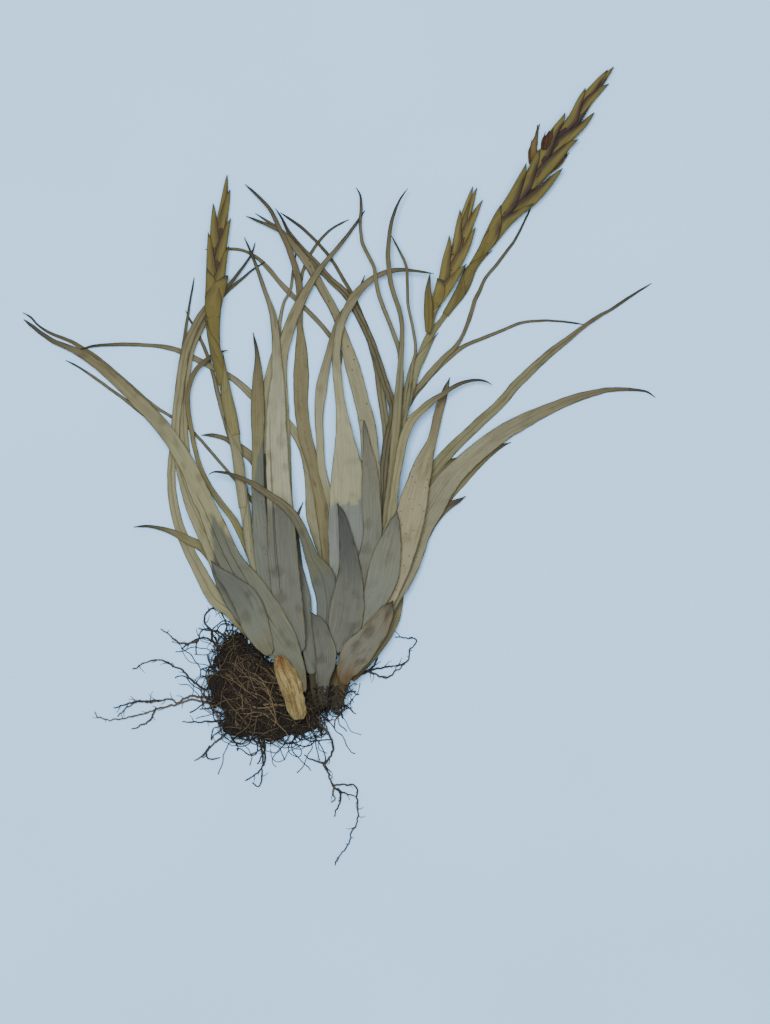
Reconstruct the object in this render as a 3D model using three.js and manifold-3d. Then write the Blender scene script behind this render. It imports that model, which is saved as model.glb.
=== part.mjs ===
// A dried, pressed air plant with two leaf rosettes, two flower stems and a mat of wiry roots.
// Millimetres. The plant lies on its back on z = 0, +Z is up, +Y runs from the roots to the flower heads.
// Every course is a row of points from base to tip; a leaf point is [x, y, width].
// Pieces are laid down from the lowest to the highest, each one resting on those already there.

import * as THREE from "three";
import { mergeVertices } from "three/addons/utils/BufferGeometryUtils.js";
import Module from "manifold-3d";

// Driving sizes
const BLADE = 0.62; // thickness of a dried blade
const SHEATH = 0.7; // thickness of the clasping leaf base
const CROWN = 0.1; // rise of the midrib above the edges
const CLEAR = 0.22; // clearance between two pieces that lie on each other
const SAG = 0.17; // steepest slope of a stiff dried leaf
const STATION = 12.5; // spacing of the sections along a leaf
const THREAD = 3.2; // a leaf never wider than this keeps a flat section
const SCAPE_FLAT = 0.68; // height of a pressed stem against its width
const ROOT = 1.1; // thickness of a wiry root
const MASS_HEIGHT = 9.4; // height of the root mat
const MASS_RIM = 2.2; // height of the root mat at its edge
const MASS_STRANDS = 34; // roots that stand out of the mat
const CENTRE = [-0.0603, 0.039]; // middle of the outline in the coordinates of the courses
const MAP = { x0: -135, y0: -165, x1: 135, y1: 165, step: 0.5 }; // height map of what is already laid

// Outline of the root mat, seen from above
const MASS_OUTLINE = [
  [-45.2, -63.4], [-41.6, -60.4], [-38.4, -62.2], [-36.4, -66.6], [-34.2, -69.2], [-29.6, -71.5],
  [-24.6, -74.6], [-19.8, -76.4], [-12.0, -70.4], [-5.2, -69.8], [0.8, -72.4], [2.6, -80.0],
  [2.3, -90.0], [-0.4, -93.8],
  [-3.5, -98.2], [-4.6, -102.4], [-8.1, -104.6], [-15.0, -105.8], [-20.8, -107.3], [-26.5, -109.2],
  [-34.2, -106.5], [-41.2, -107.3], [-48.0, -103.6], [-47.0, -99.5], [-47.6, -95.4],
  [-52.6, -91.4], [-53.2, -86.4], [-54.0, -80.8], [-50.2, -77.4], [-50.8, -72.4], [-48.6, -68.2],
];

// Course of the dead rhizome stump
const STUMP = [
  [-22.6, -72.6], [-21.4, -77.0], [-19.0, -82.0], [-17.6, -86.5], [-16.6, -90.3], [-15.6, -94.5],
  [-15.2, -97.0],
];

// Roots that leave the mat
const ROOTS = {
  west_upper: [
    [-47.7, -91.9], [-53.5, -90.4], [-57.3, -90.0], [-63.1, -91.9], [-68.8, -93.1], [-72.7, -94.6],
    [-78.5, -96.2], [-84.2, -97.3], [-89.2, -97.7], [-92.7, -96.5], [-94.2, -94.6],
  ],
  west_lower: [
    [-49.6, -89.2], [-57.3, -88.8], [-61.9, -91.2], [-64.6, -89.6], [-68.8, -90.4], [-72.7, -90.8],
    [-78.5, -90.8], [-82.3, -93.5], [-85.4, -96.5],
  ],
  west_split: [
    [-68.8, -90.4], [-70.8, -90.4], [-76.5, -90.8], [-80.4, -91.2], [-84.2, -92.3], [-86.9, -93.1],
  ],
  west_branch: [
    [-70.4, -93.1], [-71.5, -95.0], [-72.7, -97.7], [-76.5, -100.0], [-80.0, -101.2],
  ],
  north_west: [
    [-51.5, -86.2], [-57.3, -82.3], [-59.2, -79.2], [-63.1, -77.3], [-66.9, -75.4], [-70.8, -74.6],
    [-74.6, -75.8], [-77.3, -77.3], [-79.6, -78.1],
  ],
  north_long: [
    [-43.8, -72.7], [-47.7, -68.8], [-51.5, -66.2], [-55.4, -66.9], [-58.1, -68.8], [-60.8, -70.4],
  ],
  north_fork: [
    [-54.2, -66.9], [-57.3, -68.1], [-61.2, -68.1], [-65.0, -65.4], [-68.8, -62.7],
  ],
  north_short: [
    [-42.7, -68.8], [-45.0, -64.6], [-48.8, -63.5], [-51.5, -63.1], [-54.2, -62.3],
  ],
  north_hoop: [
    [-42.7, -71.5], [-47.3, -68.8], [-48.8, -66.9], [-49.2, -63.1], [-51.2, -61.2], [-51.9, -58.1],
    [-50.4, -55.4], [-48.1, -54.2], [-45.8, -55.8], [-44.2, -59.2], [-43.1, -63.8], [-41.9, -68.8],
  ],
  south_west: [
    [-40.0, -98.5], [-44.6, -97.7], [-51.5, -98.5], [-55.4, -98.5], [-60.4, -98.5],
  ],
  south_hook: [
    [-41.2, -100.8], [-46.9, -105.8], [-50.4, -108.8], [-52.3, -111.5], [-55.8, -113.5],
  ],
  south_hook_branch: [
    [-49.6, -107.7], [-51.2, -110.4], [-50.0, -112.7], [-45.8, -112.3],
  ],
  south_tuft_a: [
    [-29.6, -103.5], [-28.5, -109.2], [-29.2, -115.0], [-32.3, -118.8], [-36.2, -121.2],
  ],
  south_tuft_b: [
    [-31.2, -103.5], [-29.6, -110.0], [-29.6, -116.2], [-30.0, -120.8], [-31.2, -123.5],
    [-33.5, -121.9],
  ],
};

// The one long root and its side roots
const ROOT_LONG = {
  main: [
    [-8.1, -98.5], [-3.8, -103.5], [-2.7, -106.2], [-2.3, -109.2], [-3.5, -112.3], [-5.8, -114.6],
    [-4.2, -117.7], [-3.5, -120.8], [-2.3, -122.7], [2.3, -122.7], [5.0, -122.3], [6.9, -123.8],
    [6.9, -128.5], [7.3, -134.2], [6.5, -138.1], [5.0, -140.8], [4.2, -143.8], [2.3, -147.7],
    [-0.4, -150.8], [-1.5, -153.8],
  ],
  side_upper: [
    [-4.6, -113.5], [-5.8, -114.6], [-9.6, -113.1], [-13.5, -111.2],
  ],
  side_middle: [
    [-2.7, -122.3], [-1.9, -123.5], [0.8, -125.4], [4.2, -126.5], [6.9, -127.7],
  ],
  side_lower: [
    [-2.7, -122.3], [-1.9, -123.5], [-2.3, -126.5], [-1.5, -127.7], [-3.1, -129.6],
  ],
  side_long: [
    [-0.8, -124.2], [0.4, -125.8], [0.0, -129.6], [-1.2, -133.1], [-1.9, -135.0],
  ],
};

// The looped root beside the right rosette
const ROOT_LOOP = {
  outer: [
    [-2.5, -91.0], [0.5, -86.5], [2.3, -82.7], [5.0, -81.2], [8.8, -80.0], [11.9, -78.8],
    [17.7, -77.3], [23.5, -76.5],
    [26.9, -74.6], [26.9, -71.5], [29.2, -68.8], [30.0, -66.9], [27.3, -66.2], [21.5, -65.8],
  ],
  inner: [
    [9.6, -80.0], [11.9, -79.2], [15.8, -81.2], [18.8, -81.5], [21.5, -79.2], [25.4, -76.2],
  ],
  upper: [
    [10.4, -79.2], [12.7, -77.7], [14.6, -74.6], [14.2, -70.8],
  ],
};

// Leaves under the stems, lowest first
const LOWER_LEAVES = {
  right_old_base_outer: [
    [-1.3, -94.8, 7.2], [-1.4, -88.5, 7.4], [0.3, -81.9, 8.2], [3.2, -76.5, 6.6], [5.8, -71.5, 2.5],
  ],
  right_old_base_inner: [
    [-6.9, -94.2, 4.5], [-7.3, -88.5, 6.2], [-7.9, -81.5, 7.0], [-8.5, -75.4, 6.0],
    [-9.0, -70.0, 2.5],
  ],
  leaf_right_long_arch: [
    [-0.4, 37.0, 1.9], [0.4, 42.7, 1.9], [-1.5, 47.3, 1.9], [-5.8, 53.1, 1.9], [-10.4, 58.1, 1.9],
    [-15.0, 62.7, 1.9], [-19.6, 67.3, 2.3], [-23.5, 71.5, 1.9], [-27.3, 76.2, 1.9],
    [-31.2, 80.0, 1.5], [-34.2, 81.9, 1.2], [-38.1, 83.3, 1.2], [-42.3, 83.7, 1.2],
    [-51.5, 83.5, 0.7],
  ],
  leaf_left_thread_sickle: [
    [-24.2, -32.3, 2.3], [-29.6, -18.8, 2.3], [-36.2, -10.0, 1.5], [-42.3, -2.7, 1.2],
    [-49.6, 5.8, 1.2], [-54.6, 11.5, 1.2], [-58.8, 15.4, 1.2], [-65.0, 19.2, 1.2],
    [-72.7, 24.2, 1.5], [-80.4, 30.8, 1.9], [-91.9, 40.4, 2.3], [-97.7, 44.6, 1.9],
    [-103.5, 48.1, 1.5], [-111.2, 51.2, 1.2], [-115.8, 54.2, 0.8], [-118.8, 57.3, 0.8],
    [-121.9, 59.2, 0.7],
  ],
  leaf_left_stray_thread: [
    [-48.8, -16.2, 2.7], [-55.4, -3.5, 2.3], [-63.1, 8.1, 1.9], [-70.8, 16.2, 1.5],
    [-77.3, 21.5, 1.5], [-82.3, 25.4, 1.3], [-88.1, 29.6, 1.2], [-93.8, 33.8, 1.2],
    [-99.6, 37.7, 0.8], [-105.4, 40.8, 0.7],
  ],
  leaf_left_crossing_thread: [
    [-37.7, -3.8, 2.3], [-38.1, -1.5, 2.3], [-43.5, 15.8, 1.9], [-46.5, 26.9, 1.9],
    [-48.5, 35.0, 1.5], [-50.8, 42.7, 1.5], [-54.6, 51.5, 1.2], [-57.3, 56.2, 0.8],
    [-59.2, 60.0, 0.7],
  ],
  leaf_left_thin_arc: [
    [-21.0, -5.4, 2.3], [-21.5, 6.2, 2.3], [-22.3, 25.4, 1.9], [-21.9, 36.9, 1.7],
    [-20.4, 46.5, 1.7], [-18.5, 54.2, 1.5], [-16.2, 62.7, 1.5], [-15.0, 69.6, 1.3],
    [-13.8, 75.4, 1.3], [-11.9, 80.0, 1.2], [-9.2, 84.6, 1.2], [-5.4, 89.2, 1.0],
    [-1.5, 92.3, 0.8], [3.8, 95.0, 0.7],
  ],
  leaf_right_fine_lower: [
    [10.4, -59.2, 2.3], [19.6, -13.1, 2.3], [23.1, 13.8, 1.9], [25.8, 21.5, 1.9],
    [28.8, 26.9, 1.9], [31.9, 30.8, 1.9], [35.0, 34.6, 1.9], [38.8, 38.5, 1.9], [43.5, 42.7, 1.7],
    [46.9, 45.4, 1.7], [50.4, 47.3, 1.5], [54.2, 48.8, 1.5], [61.9, 51.9, 1.3], [69.6, 55.0, 1.2],
    [77.3, 56.0, 1.0], [85.0, 55.8, 0.8], [94.2, 54.6, 0.7],
  ],
  leaf_right_fine_upper: [
    [8.8, -59.2, 2.3], [18.1, -16.9, 2.3], [19.6, -5.4, 2.3], [21.5, 4.2, 2.3], [23.5, 13.8, 2.3],
    [25.4, 21.5, 2.3], [28.5, 28.1, 2.3], [31.5, 31.3, 2.3], [34.8, 35.2, 2.7], [38.3, 39.4, 2.3],
    [41.9, 43.3, 1.9], [44.4, 45.4, 1.9], [46.9, 49.0, 1.5], [48.8, 53.1, 1.5], [50.6, 58.1, 1.7],
    [52.3, 63.8, 1.7], [54.2, 67.7, 1.5], [56.3, 72.3, 1.3], [60.4, 77.3, 1.3], [64.2, 82.3, 1.2],
    [68.1, 87.7, 1.0], [71.9, 95.4, 0.8], [74.2, 100.0, 0.7],
  ],
  leaf_right_far_arch: [
    [-3.1, -43.8, 5.4], [-5.0, -34.2, 6.2], [-8.8, -18.8, 7.7], [-10.6, -5.4, 5.4],
    [-13.5, 6.2, 3.8], [-18.8, 15.4, 3.1], [-26.2, 22.3, 3.1], [-33.1, 26.9, 3.1],
    [-37.7, 31.2, 2.7], [-42.7, 35.0, 2.3], [-49.6, 38.5, 2.3], [-53.5, 40.4, 2.3],
    [-61.2, 44.2, 2.1], [-66.9, 45.8, 1.9], [-72.7, 46.5, 1.5], [-82.3, 46.9, 1.5],
    [-91.9, 46.5, 1.2], [-95.8, 46.0, 1.0], [-99.6, 45.0, 0.7],
  ],
  leaf_left_short_cross: [
    [-24.6, -16.2, 4.2], [-28.5, -4.2, 4.2], [-33.1, 2.7, 3.8], [-38.1, 6.9, 3.5],
    [-43.5, 10.4, 1.9], [-48.8, 11.9, 1.5], [-53.1, 11.9, 0.7],
  ],
  leaf_right_under_tongue: [
    [28.5, -34.6, 5.4], [38.8, -15.0, 5.4], [50.4, -2.3, 3.8], [56.5, 3.1, 2.3], [61.9, 7.3, 1.5],
    [66.2, 9.2, 0.7],
  ],
  leaf_right_outer_short: [
    [4.2, -82.3, 3.8], [13.8, -70.8, 4.6], [19.6, -61.2, 5.4], [22.3, -53.5, 4.6],
    [23.1, -43.8, 3.8], [27.3, -36.2, 3.1], [31.2, -29.6, 3.1], [35.0, -23.8, 3.1],
    [38.8, -18.5, 3.1], [42.7, -15.0, 2.7], [45.8, -13.5, 1.9], [48.8, -11.5, 0.7],
  ],
  leaf_right_upper_lance: [
    [24.2, -31.5, 5.0], [28.8, -16.9, 5.0], [31.9, -9.2, 5.0], [35.4, -3.5, 5.0], [38.8, 1.2, 5.0],
    [42.7, 5.8, 4.6], [48.5, 11.5, 4.2], [54.2, 16.9, 4.2], [60.0, 22.1, 3.8], [64.2, 26.5, 3.8],
    [67.7, 30.8, 3.8], [73.5, 36.5, 3.5], [77.3, 40.0, 3.3], [81.2, 43.5, 3.1], [85.0, 46.5, 2.7],
    [88.8, 49.4, 2.3], [94.6, 54.0, 1.7], [100.4, 57.9, 1.5], [104.2, 60.0, 1.2],
    [110.0, 63.8, 1.2], [115.8, 67.7, 0.8], [120.4, 70.4, 0.7],
  ],
  leaf_left_outer_blade: [
    [-34.2, -64.6, 4.6], [-41.2, -56.2, 5.4], [-47.7, -50.8, 5.8], [-53.5, -40.8, 5.0],
    [-58.8, -30.4, 4.2], [-62.3, -20.8, 3.8], [-64.2, -11.2, 3.5], [-64.6, -1.5, 3.1],
    [-63.8, 8.1, 2.7], [-63.1, 17.7, 2.3], [-61.9, 27.3, 2.3], [-61.2, 36.9, 1.9],
    [-60.0, 45.4, 1.5], [-58.8, 54.2, 1.2], [-57.3, 63.8, 0.8], [-55.8, 72.7, 0.7],
  ],
  leaf_left_short_curl: [
    [-38.1, -51.5, 5.4], [-40.0, -48.5, 5.4], [-46.5, -38.5, 4.6], [-52.3, -31.5, 3.8],
    [-58.1, -28.5, 3.5], [-64.2, -25.4, 2.3], [-69.6, -23.8, 1.5], [-74.6, -23.1, 1.0],
    [-79.2, -23.5, 0.7],
  ],
  leaf_left_bundle_back: [
    [-33.5, -48.5, 7.7], [-36.2, -43.8, 9.2], [-45.0, -30.4, 6.9], [-51.2, -18.8, 5.0],
    [-55.8, -8.5, 4.2], [-58.5, 1.5, 3.8], [-59.6, 10.0, 3.5], [-59.8, 17.7, 3.1],
    [-59.6, 25.4, 3.1], [-58.8, 35.0, 3.1], [-57.3, 43.8, 3.1], [-54.6, 50.4, 2.7],
    [-51.2, 56.9, 2.3], [-47.3, 62.7, 1.9], [-42.7, 67.7, 1.5], [-38.1, 71.5, 1.2],
    [-33.5, 75.4, 0.8], [-28.5, 78.8, 0.7],
  ],
  leaf_left_bundle_front: [
    [-15.8, -79.2, 4.6], [-29.6, -62.3, 11.5], [-39.6, -48.5, 11.5], [-46.5, -34.2, 8.5],
    [-52.3, -23.8, 6.5], [-56.9, -14.2, 5.0], [-59.4, -7.3, 3.8], [-61.2, -0.8, 3.1],
    [-62.7, 7.3, 3.1], [-62.7, 17.7, 3.5], [-61.5, 27.3, 3.5], [-60.4, 36.9, 3.5],
    [-58.5, 45.8, 3.5], [-55.4, 53.5, 3.1], [-51.5, 60.0, 2.7], [-47.3, 64.6, 1.9],
    [-42.7, 69.2, 1.5], [-38.1, 75.0, 1.2], [-33.8, 81.5, 0.8], [-32.3, 86.2, 0.7],
  ],
  leaf_left_hook_blade: [
    [-30.4, -41.2, 3.8], [-34.2, -33.5, 3.1], [-40.0, -21.5, 2.7], [-46.3, -13.1, 2.3],
    [-51.5, -4.6, 1.9], [-54.8, 4.2, 1.9], [-56.7, 13.8, 1.9], [-58.1, 23.5, 1.9],
    [-57.7, 30.0, 1.9], [-55.4, 36.2, 1.9], [-52.3, 39.6, 1.9], [-48.8, 42.3, 1.5],
    [-45.8, 43.8, 1.2], [-42.7, 44.6, 0.7],
  ],
  leaf_left_edge_spur: [
    [-14.6, -43.8, 2.7], [-15.4, -36.2, 2.3], [-16.5, -24.6, 1.5], [-16.2, -20.0, 1.2],
    [-13.8, -13.8, 0.7],
  ],
  leaf_left_dark_strip: [
    [-25.4, -45.8, 4.6], [-25.8, -43.8, 4.6], [-28.1, -24.6, 3.5], [-29.2, -5.4, 2.7],
    [-29.2, 10.0, 1.9], [-28.5, 17.7, 1.2],
  ],
  leaf_left_curved_thread: [
    [-28.1, 4.2, 3.5], [-28.1, 6.2, 3.8], [-28.5, 21.5, 3.5], [-27.7, 31.2, 3.1],
    [-25.8, 40.0, 2.7], [-23.5, 48.5, 1.9], [-22.7, 56.2, 1.5], [-21.2, 63.1, 1.2],
    [-18.8, 67.7, 1.2], [-17.7, 75.4, 1.0], [-16.5, 83.1, 0.7],
  ],
};

// Leaves over the stems, lowest first
const UPPER_LEAVES = {
  leaf_right_split_tip: [
    [3.1, 41.9, 2.3], [1.9, 46.5, 2.3], [-1.9, 58.1, 1.9], [-6.9, 67.3, 1.9], [-12.3, 76.9, 1.9],
    [-16.9, 84.4, 1.9], [-21.2, 89.6, 1.5], [-25.8, 93.1, 1.2], [-29.2, 95.4, 0.8],
    [-32.3, 97.3, 0.7],
  ],
  leaf_right_under_fold: [
    [14.6, -30.4, 3.1], [15.0, -28.5, 3.1], [16.9, -1.5, 2.7], [18.1, 10.0, 2.7],
    [17.7, 17.7, 3.1], [16.2, 27.3, 3.1], [14.6, 38.8, 3.1], [11.9, 48.5, 2.7], [8.8, 56.9, 2.3],
    [5.8, 65.0, 1.5], [2.3, 70.8, 1.5], [-2.7, 79.2, 1.3], [-8.1, 85.8, 1.2], [-15.0, 92.3, 1.2],
    [-22.7, 97.7, 0.7],
  ],
  leaf_right_dark_fold: [
    [14.2, -34.6, 3.5], [15.8, -28.5, 3.5], [16.9, -13.1, 3.1], [17.3, -1.5, 3.1],
    [18.8, 10.0, 3.1], [20.8, 19.6, 3.1], [20.0, 25.4, 3.1], [17.3, 33.1, 3.1], [14.2, 42.7, 3.1],
    [10.4, 52.3, 3.1], [6.2, 60.8, 3.1], [2.3, 66.5, 3.1], [-3.5, 71.9, 2.7], [-9.2, 78.1, 2.7],
    [-15.0, 84.2, 2.3], [-19.6, 90.4, 1.5], [-22.3, 95.8, 0.8], [-24.6, 99.2, 0.7],
  ],
  leaf_right_spotted_blade: [
    [8.5, -52.7, 6.5], [10.4, -43.8, 6.9], [12.7, -28.5, 6.9], [12.3, -5.4, 7.3],
    [11.2, 13.8, 6.5], [8.1, 27.3, 5.8], [5.0, 38.8, 5.8], [2.3, 48.5, 3.8], [-1.5, 59.2, 3.1],
    [-6.5, 68.5, 3.1], [-11.9, 77.7, 3.1], [-16.9, 84.2, 2.7], [-21.5, 89.6, 1.9],
    [-26.5, 92.3, 1.5], [-35.8, 96.2, 0.7],
  ],
  leaf_right_brown_blade: [
    [-2.3, -51.5, 6.5], [-3.5, -36.2, 6.2], [-6.5, -15.0, 5.4], [-10.0, 0.4, 4.6],
    [-13.1, 11.9, 5.4], [-14.6, 23.5, 5.4], [-14.6, 33.1, 6.2], [-14.6, 44.6, 4.6],
    [-15.0, 54.2, 2.3], [-15.0, 63.8, 2.7], [-15.8, 72.3, 2.7], [-18.8, 82.3, 2.3],
    [-22.7, 90.8, 1.9], [-26.5, 98.5, 1.5], [-31.2, 103.8, 1.2], [-36.2, 108.5, 0.7],
  ],
  leaf_left_centre_short: [
    [-24.3, -53.5, 7.0], [-26.5, -43.8, 8.5], [-28.8, -32.3, 7.7], [-30.8, -13.1, 5.4],
    [-31.2, 6.2, 4.6], [-31.2, 17.7, 5.4], [-31.2, 27.3, 5.0], [-31.2, 35.0, 3.8],
    [-31.5, 42.7, 1.9], [-33.1, 51.5, 0.7],
  ],
  leaf_left_inner_upper: [
    [-10.4, -80.4, 3.5], [-11.5, -70.8, 5.0], [-13.5, -59.2, 6.5], [-14.4, -50.4, 7.0],
    [-17.0, -41.0, 7.0], [-19.0, -34.2, 6.9], [-20.4, -13.1, 5.4], [-20.8, 6.2, 4.6],
    [-21.5, 21.5, 4.6], [-22.3, 33.1, 4.6], [-21.9, 42.7, 4.6], [-20.0, 50.4, 4.6],
    [-17.7, 56.9, 4.2], [-15.0, 62.7, 3.8], [-11.9, 68.5, 3.1], [-8.1, 74.6, 2.3],
    [-3.5, 80.4, 1.9], [1.5, 86.5, 1.5], [5.8, 92.3, 1.2], [10.0, 98.5, 0.7],
  ],
  leaf_left_broad_blade: [
    [-16.5, -72.7, 9.2], [-19.6, -51.5, 11.5], [-21.5, -32.3, 11.5], [-22.7, -13.1, 9.8],
    [-23.6, 2.3, 8.6], [-24.0, 15.4, 8.1], [-23.8, 26.5, 6.6], [-23.6, 35.0, 4.8],
    [-23.9, 42.0, 3.9], [-24.2, 48.7, 3.3], [-25.4, 58.1, 2.7], [-27.7, 65.0, 1.9],
    [-30.4, 72.7, 1.5], [-32.7, 79.2, 1.2], [-34.6, 83.8, 0.8], [-36.5, 88.1, 0.7],
  ],
  leaf_left_sickle: [
    [-13.1, -87.0, 2.4], [-14.4, -82.3, 4.6], [-16.9, -76.5, 8.0], [-23.3, -66.2, 14.2],
    [-32.3, -51.9, 15.2], [-41.4, -36.4, 9.6], [-46.5, -25.4, 8.5], [-49.8, -17.7, 7.5],
    [-53.5, -10.2, 7.3], [-57.3, -1.5, 6.5], [-61.2, 5.4, 6.2], [-65.6, 12.1, 5.8],
    [-71.2, 18.8, 5.6], [-81.2, 28.7, 4.6], [-92.3, 38.5, 3.8], [-101.5, 44.4, 2.7],
    [-111.2, 48.8, 1.9], [-121.5, 56.5, 1.2],
  ],
  leaf_left_front_sheath: [
    [-25.8, -72.7, 5.0], [-31.2, -62.3, 10.0], [-34.6, -52.7, 11.0], [-40.8, -45.0, 7.0],
    [-45.4, -40.8, 4.0], [-48.8, -36.2, 0.7],
  ],
  leaf_right_pale_blade: [
    [-1.5, -36.9, 5.0], [-1.5, -28.5, 4.6], [-3.1, -15.0, 3.1], [-6.5, -1.5, 3.1],
    [-7.3, 10.0, 3.1], [-7.7, 19.6, 3.5], [-6.9, 29.2, 4.6], [-5.4, 36.9, 3.5], [-3.1, 46.5, 2.7],
    [-0.4, 55.4, 2.3], [2.7, 60.8, 1.9], [6.5, 65.4, 1.2], [10.0, 73.5, 0.7],
  ],
  leaf_right_front_blade: [
    [2.3, -70.8, 7.7], [3.5, -43.8, 13.8], [3.1, -20.8, 14.6], [3.1, -1.5, 11.5], [1.9, 13.8, 6.2],
    [0.4, 25.4, 3.8], [-0.8, 36.9, 3.5], [-0.8, 46.5, 3.1], [1.2, 55.4, 3.1], [5.0, 63.5, 3.5],
    [10.0, 69.6, 2.7], [15.8, 73.5, 2.1], [21.5, 75.0, 1.9], [27.3, 75.0, 1.3], [36.5, 73.7, 0.7],
  ],
  leaf_right_thin_a: [
    [19.2, -3.1, 2.3], [20.4, 2.3, 2.3], [23.5, 25.4, 2.3], [23.5, 41.9, 1.9], [20.8, 51.2, 1.7],
    [16.9, 61.2, 1.7], [15.0, 66.9, 1.7], [14.2, 71.5, 1.7], [13.5, 76.2, 1.5], [11.5, 80.4, 1.5],
    [9.2, 85.0, 1.5], [8.5, 88.8, 1.3], [8.1, 93.8, 1.2], [8.5, 99.2, 1.2], [8.1, 104.2, 0.8],
    [6.5, 107.3, 0.7],
  ],
  leaf_right_thin_c: [
    [24.6, 13.8, 1.7], [26.5, 25.4, 1.5], [28.5, 40.0, 1.2], [29.2, 42.3, 1.2], [29.4, 46.5, 1.2],
    [28.8, 50.4, 1.2], [27.7, 56.2, 1.2], [26.5, 61.9, 1.2], [26.3, 67.7, 1.2], [26.2, 73.5, 1.2],
    [25.4, 77.7, 1.2], [23.8, 81.2, 1.0], [21.9, 85.0, 0.8], [20.0, 88.5, 0.7],
  ],
  leaf_right_thin_b: [
    [17.2, -27.0, 2.4], [18.4, -17.0, 2.8], [20.0, -5.4, 3.1], [20.8, 2.3, 3.1], [22.7, 25.4, 3.1],
    [23.5, 36.9, 2.5], [24.2, 48.5, 1.9], [24.2, 54.2, 1.9], [23.1, 60.0, 1.9], [21.5, 64.6, 1.9],
    [20.0, 69.6, 1.9], [19.2, 75.4, 1.9], [18.8, 81.2, 1.9], [19.2, 86.9, 1.7], [20.0, 92.7, 1.5],
    [21.5, 97.7, 1.2], [23.5, 102.3, 0.8], [26.5, 106.5, 0.7],
  ],
  leaf_right_dark_tongue: [
    [29.6, -17.7, 4.2], [33.1, -11.2, 3.8], [39.2, -3.1, 2.3], [42.7, 1.5, 1.5], [47.3, 3.8, 0.7],
  ],
  leaf_right_lower_lance: [
    [10.0, -66.9, 7.7], [17.7, -51.5, 10.8], [25.4, -38.1, 10.8], [28.1, -30.4, 10.8],
    [31.2, -22.7, 10.4], [35.0, -16.9, 10.0], [38.8, -10.4, 9.2], [42.7, -4.8, 8.5],
    [47.3, 0.0, 7.7], [52.3, 4.6, 7.3], [58.1, 9.2, 6.9], [63.8, 13.3, 6.5], [69.6, 16.5, 6.0],
    [77.3, 20.4, 5.0], [85.0, 23.8, 4.0], [92.7, 26.7, 3.3], [100.4, 28.7, 2.3],
    [104.2, 29.4, 1.9], [110.0, 29.6, 1.5], [115.8, 29.2, 1.0], [118.8, 28.5, 0.8],
    [121.9, 26.5, 0.7],
  ],
  leaf_right_pointed_blade: [
    [13.8, -59.2, 7.7], [21.5, -40.0, 10.8], [26.5, -22.7, 11.5], [29.2, -11.2, 10.0],
    [32.3, 0.4, 7.3], [35.8, 10.0, 3.8], [38.1, 19.6, 3.5], [40.0, 26.2, 3.1], [42.7, 34.2, 0.7],
  ],
  leaf_right_small_arc: [
    [16.2, -30.8, 2.6], [18.6, -24.2, 2.9], [20.2, -18.8, 3.1], [21.9, -5.4, 3.1], [23.1, 2.3, 3.5],
    [24.2, 8.1, 3.5], [25.8, 13.1, 3.5], [28.1, 17.7, 3.5], [31.2, 20.8, 3.1], [34.2, 23.5, 3.1],
    [37.7, 26.2, 2.3], [40.8, 28.1, 1.9], [43.5, 30.0, 1.7], [47.3, 31.9, 1.5], [51.2, 32.9, 1.2],
    [54.2, 32.9, 1.0], [56.9, 32.3, 0.8], [58.8, 31.2, 0.7],
  ],
  leaf_right_grey_sheath: [
    [7.7, -53.8, 9.2], [8.1, -51.5, 10.0], [12.7, -28.5, 7.7], [12.3, -13.1, 7.3],
    [11.9, -1.5, 6.2], [10.8, 8.1, 3.1], [9.6, 17.7, 1.2],
  ],
  leaf_right_side_point: [
    [2.3, -71.5, 3.8], [6.2, -65.0, 5.4], [11.9, -55.4, 7.7], [15.8, -45.8, 11.5],
    [18.1, -36.2, 11.5], [20.4, -26.5, 6.9], [22.3, -17.3, 1.2],
  ],
  leaf_right_left_arch: [
    [-6.5, -86.2, 4.6], [-6.4, -75.0, 5.5], [-6.0, -66.0, 6.5], [-4.8, -58.0, 7.5],
    [-4.6, -51.6, 8.2], [-6.0, -43.4, 9.4], [-8.2, -38.8, 7.4], [-10.3, -35.2, 5.2],
    [-12.5, -28.5, 4.2], [-15.2, -22.3, 3.8], [-18.5, -17.5, 3.5], [-22.7, -13.8, 3.1],
    [-27.3, -10.6, 2.7], [-31.2, -7.9, 2.3], [-35.4, -5.6, 1.9], [-39.6, -3.8, 1.5],
    [-43.5, -2.7, 1.2], [-47.7, -2.3, 0.8], [-50.0, -3.5, 0.7],
  ],
  leaf_right_centre_point: [
    [-0.4, -72.0, 2.0], [1.2, -65.2, 9.2], [2.3, -60.2, 13.6], [3.5, -51.5, 12.8],
    [4.2, -43.1, 9.6], [3.9, -35.0, 7.3], [2.6, -26.5, 5.0], [1.0, -18.3, 2.7], [-0.7, -14.4, 0.7],
  ],
  leaf_right_old_sheath: [
    [2.3, -84.2, 4.6], [2.9, -79.1, 8.0], [6.7, -71.9, 11.6], [11.2, -66.7, 10.0],
    [15.2, -61.4, 8.4], [18.6, -55.4, 5.4], [20.8, -51.5, 0.8],
  ],
  between_bract: [
    [-6.2, -92.0, 3.2], [-5.8, -82.3, 4.8], [-5.0, -76.5, 7.0], [-4.8, -71.5, 8.0],
    [-6.0, -66.2, 7.3], [-7.9, -60.0, 5.0], [-10.8, -55.8, 0.8],
  ],
};

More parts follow.
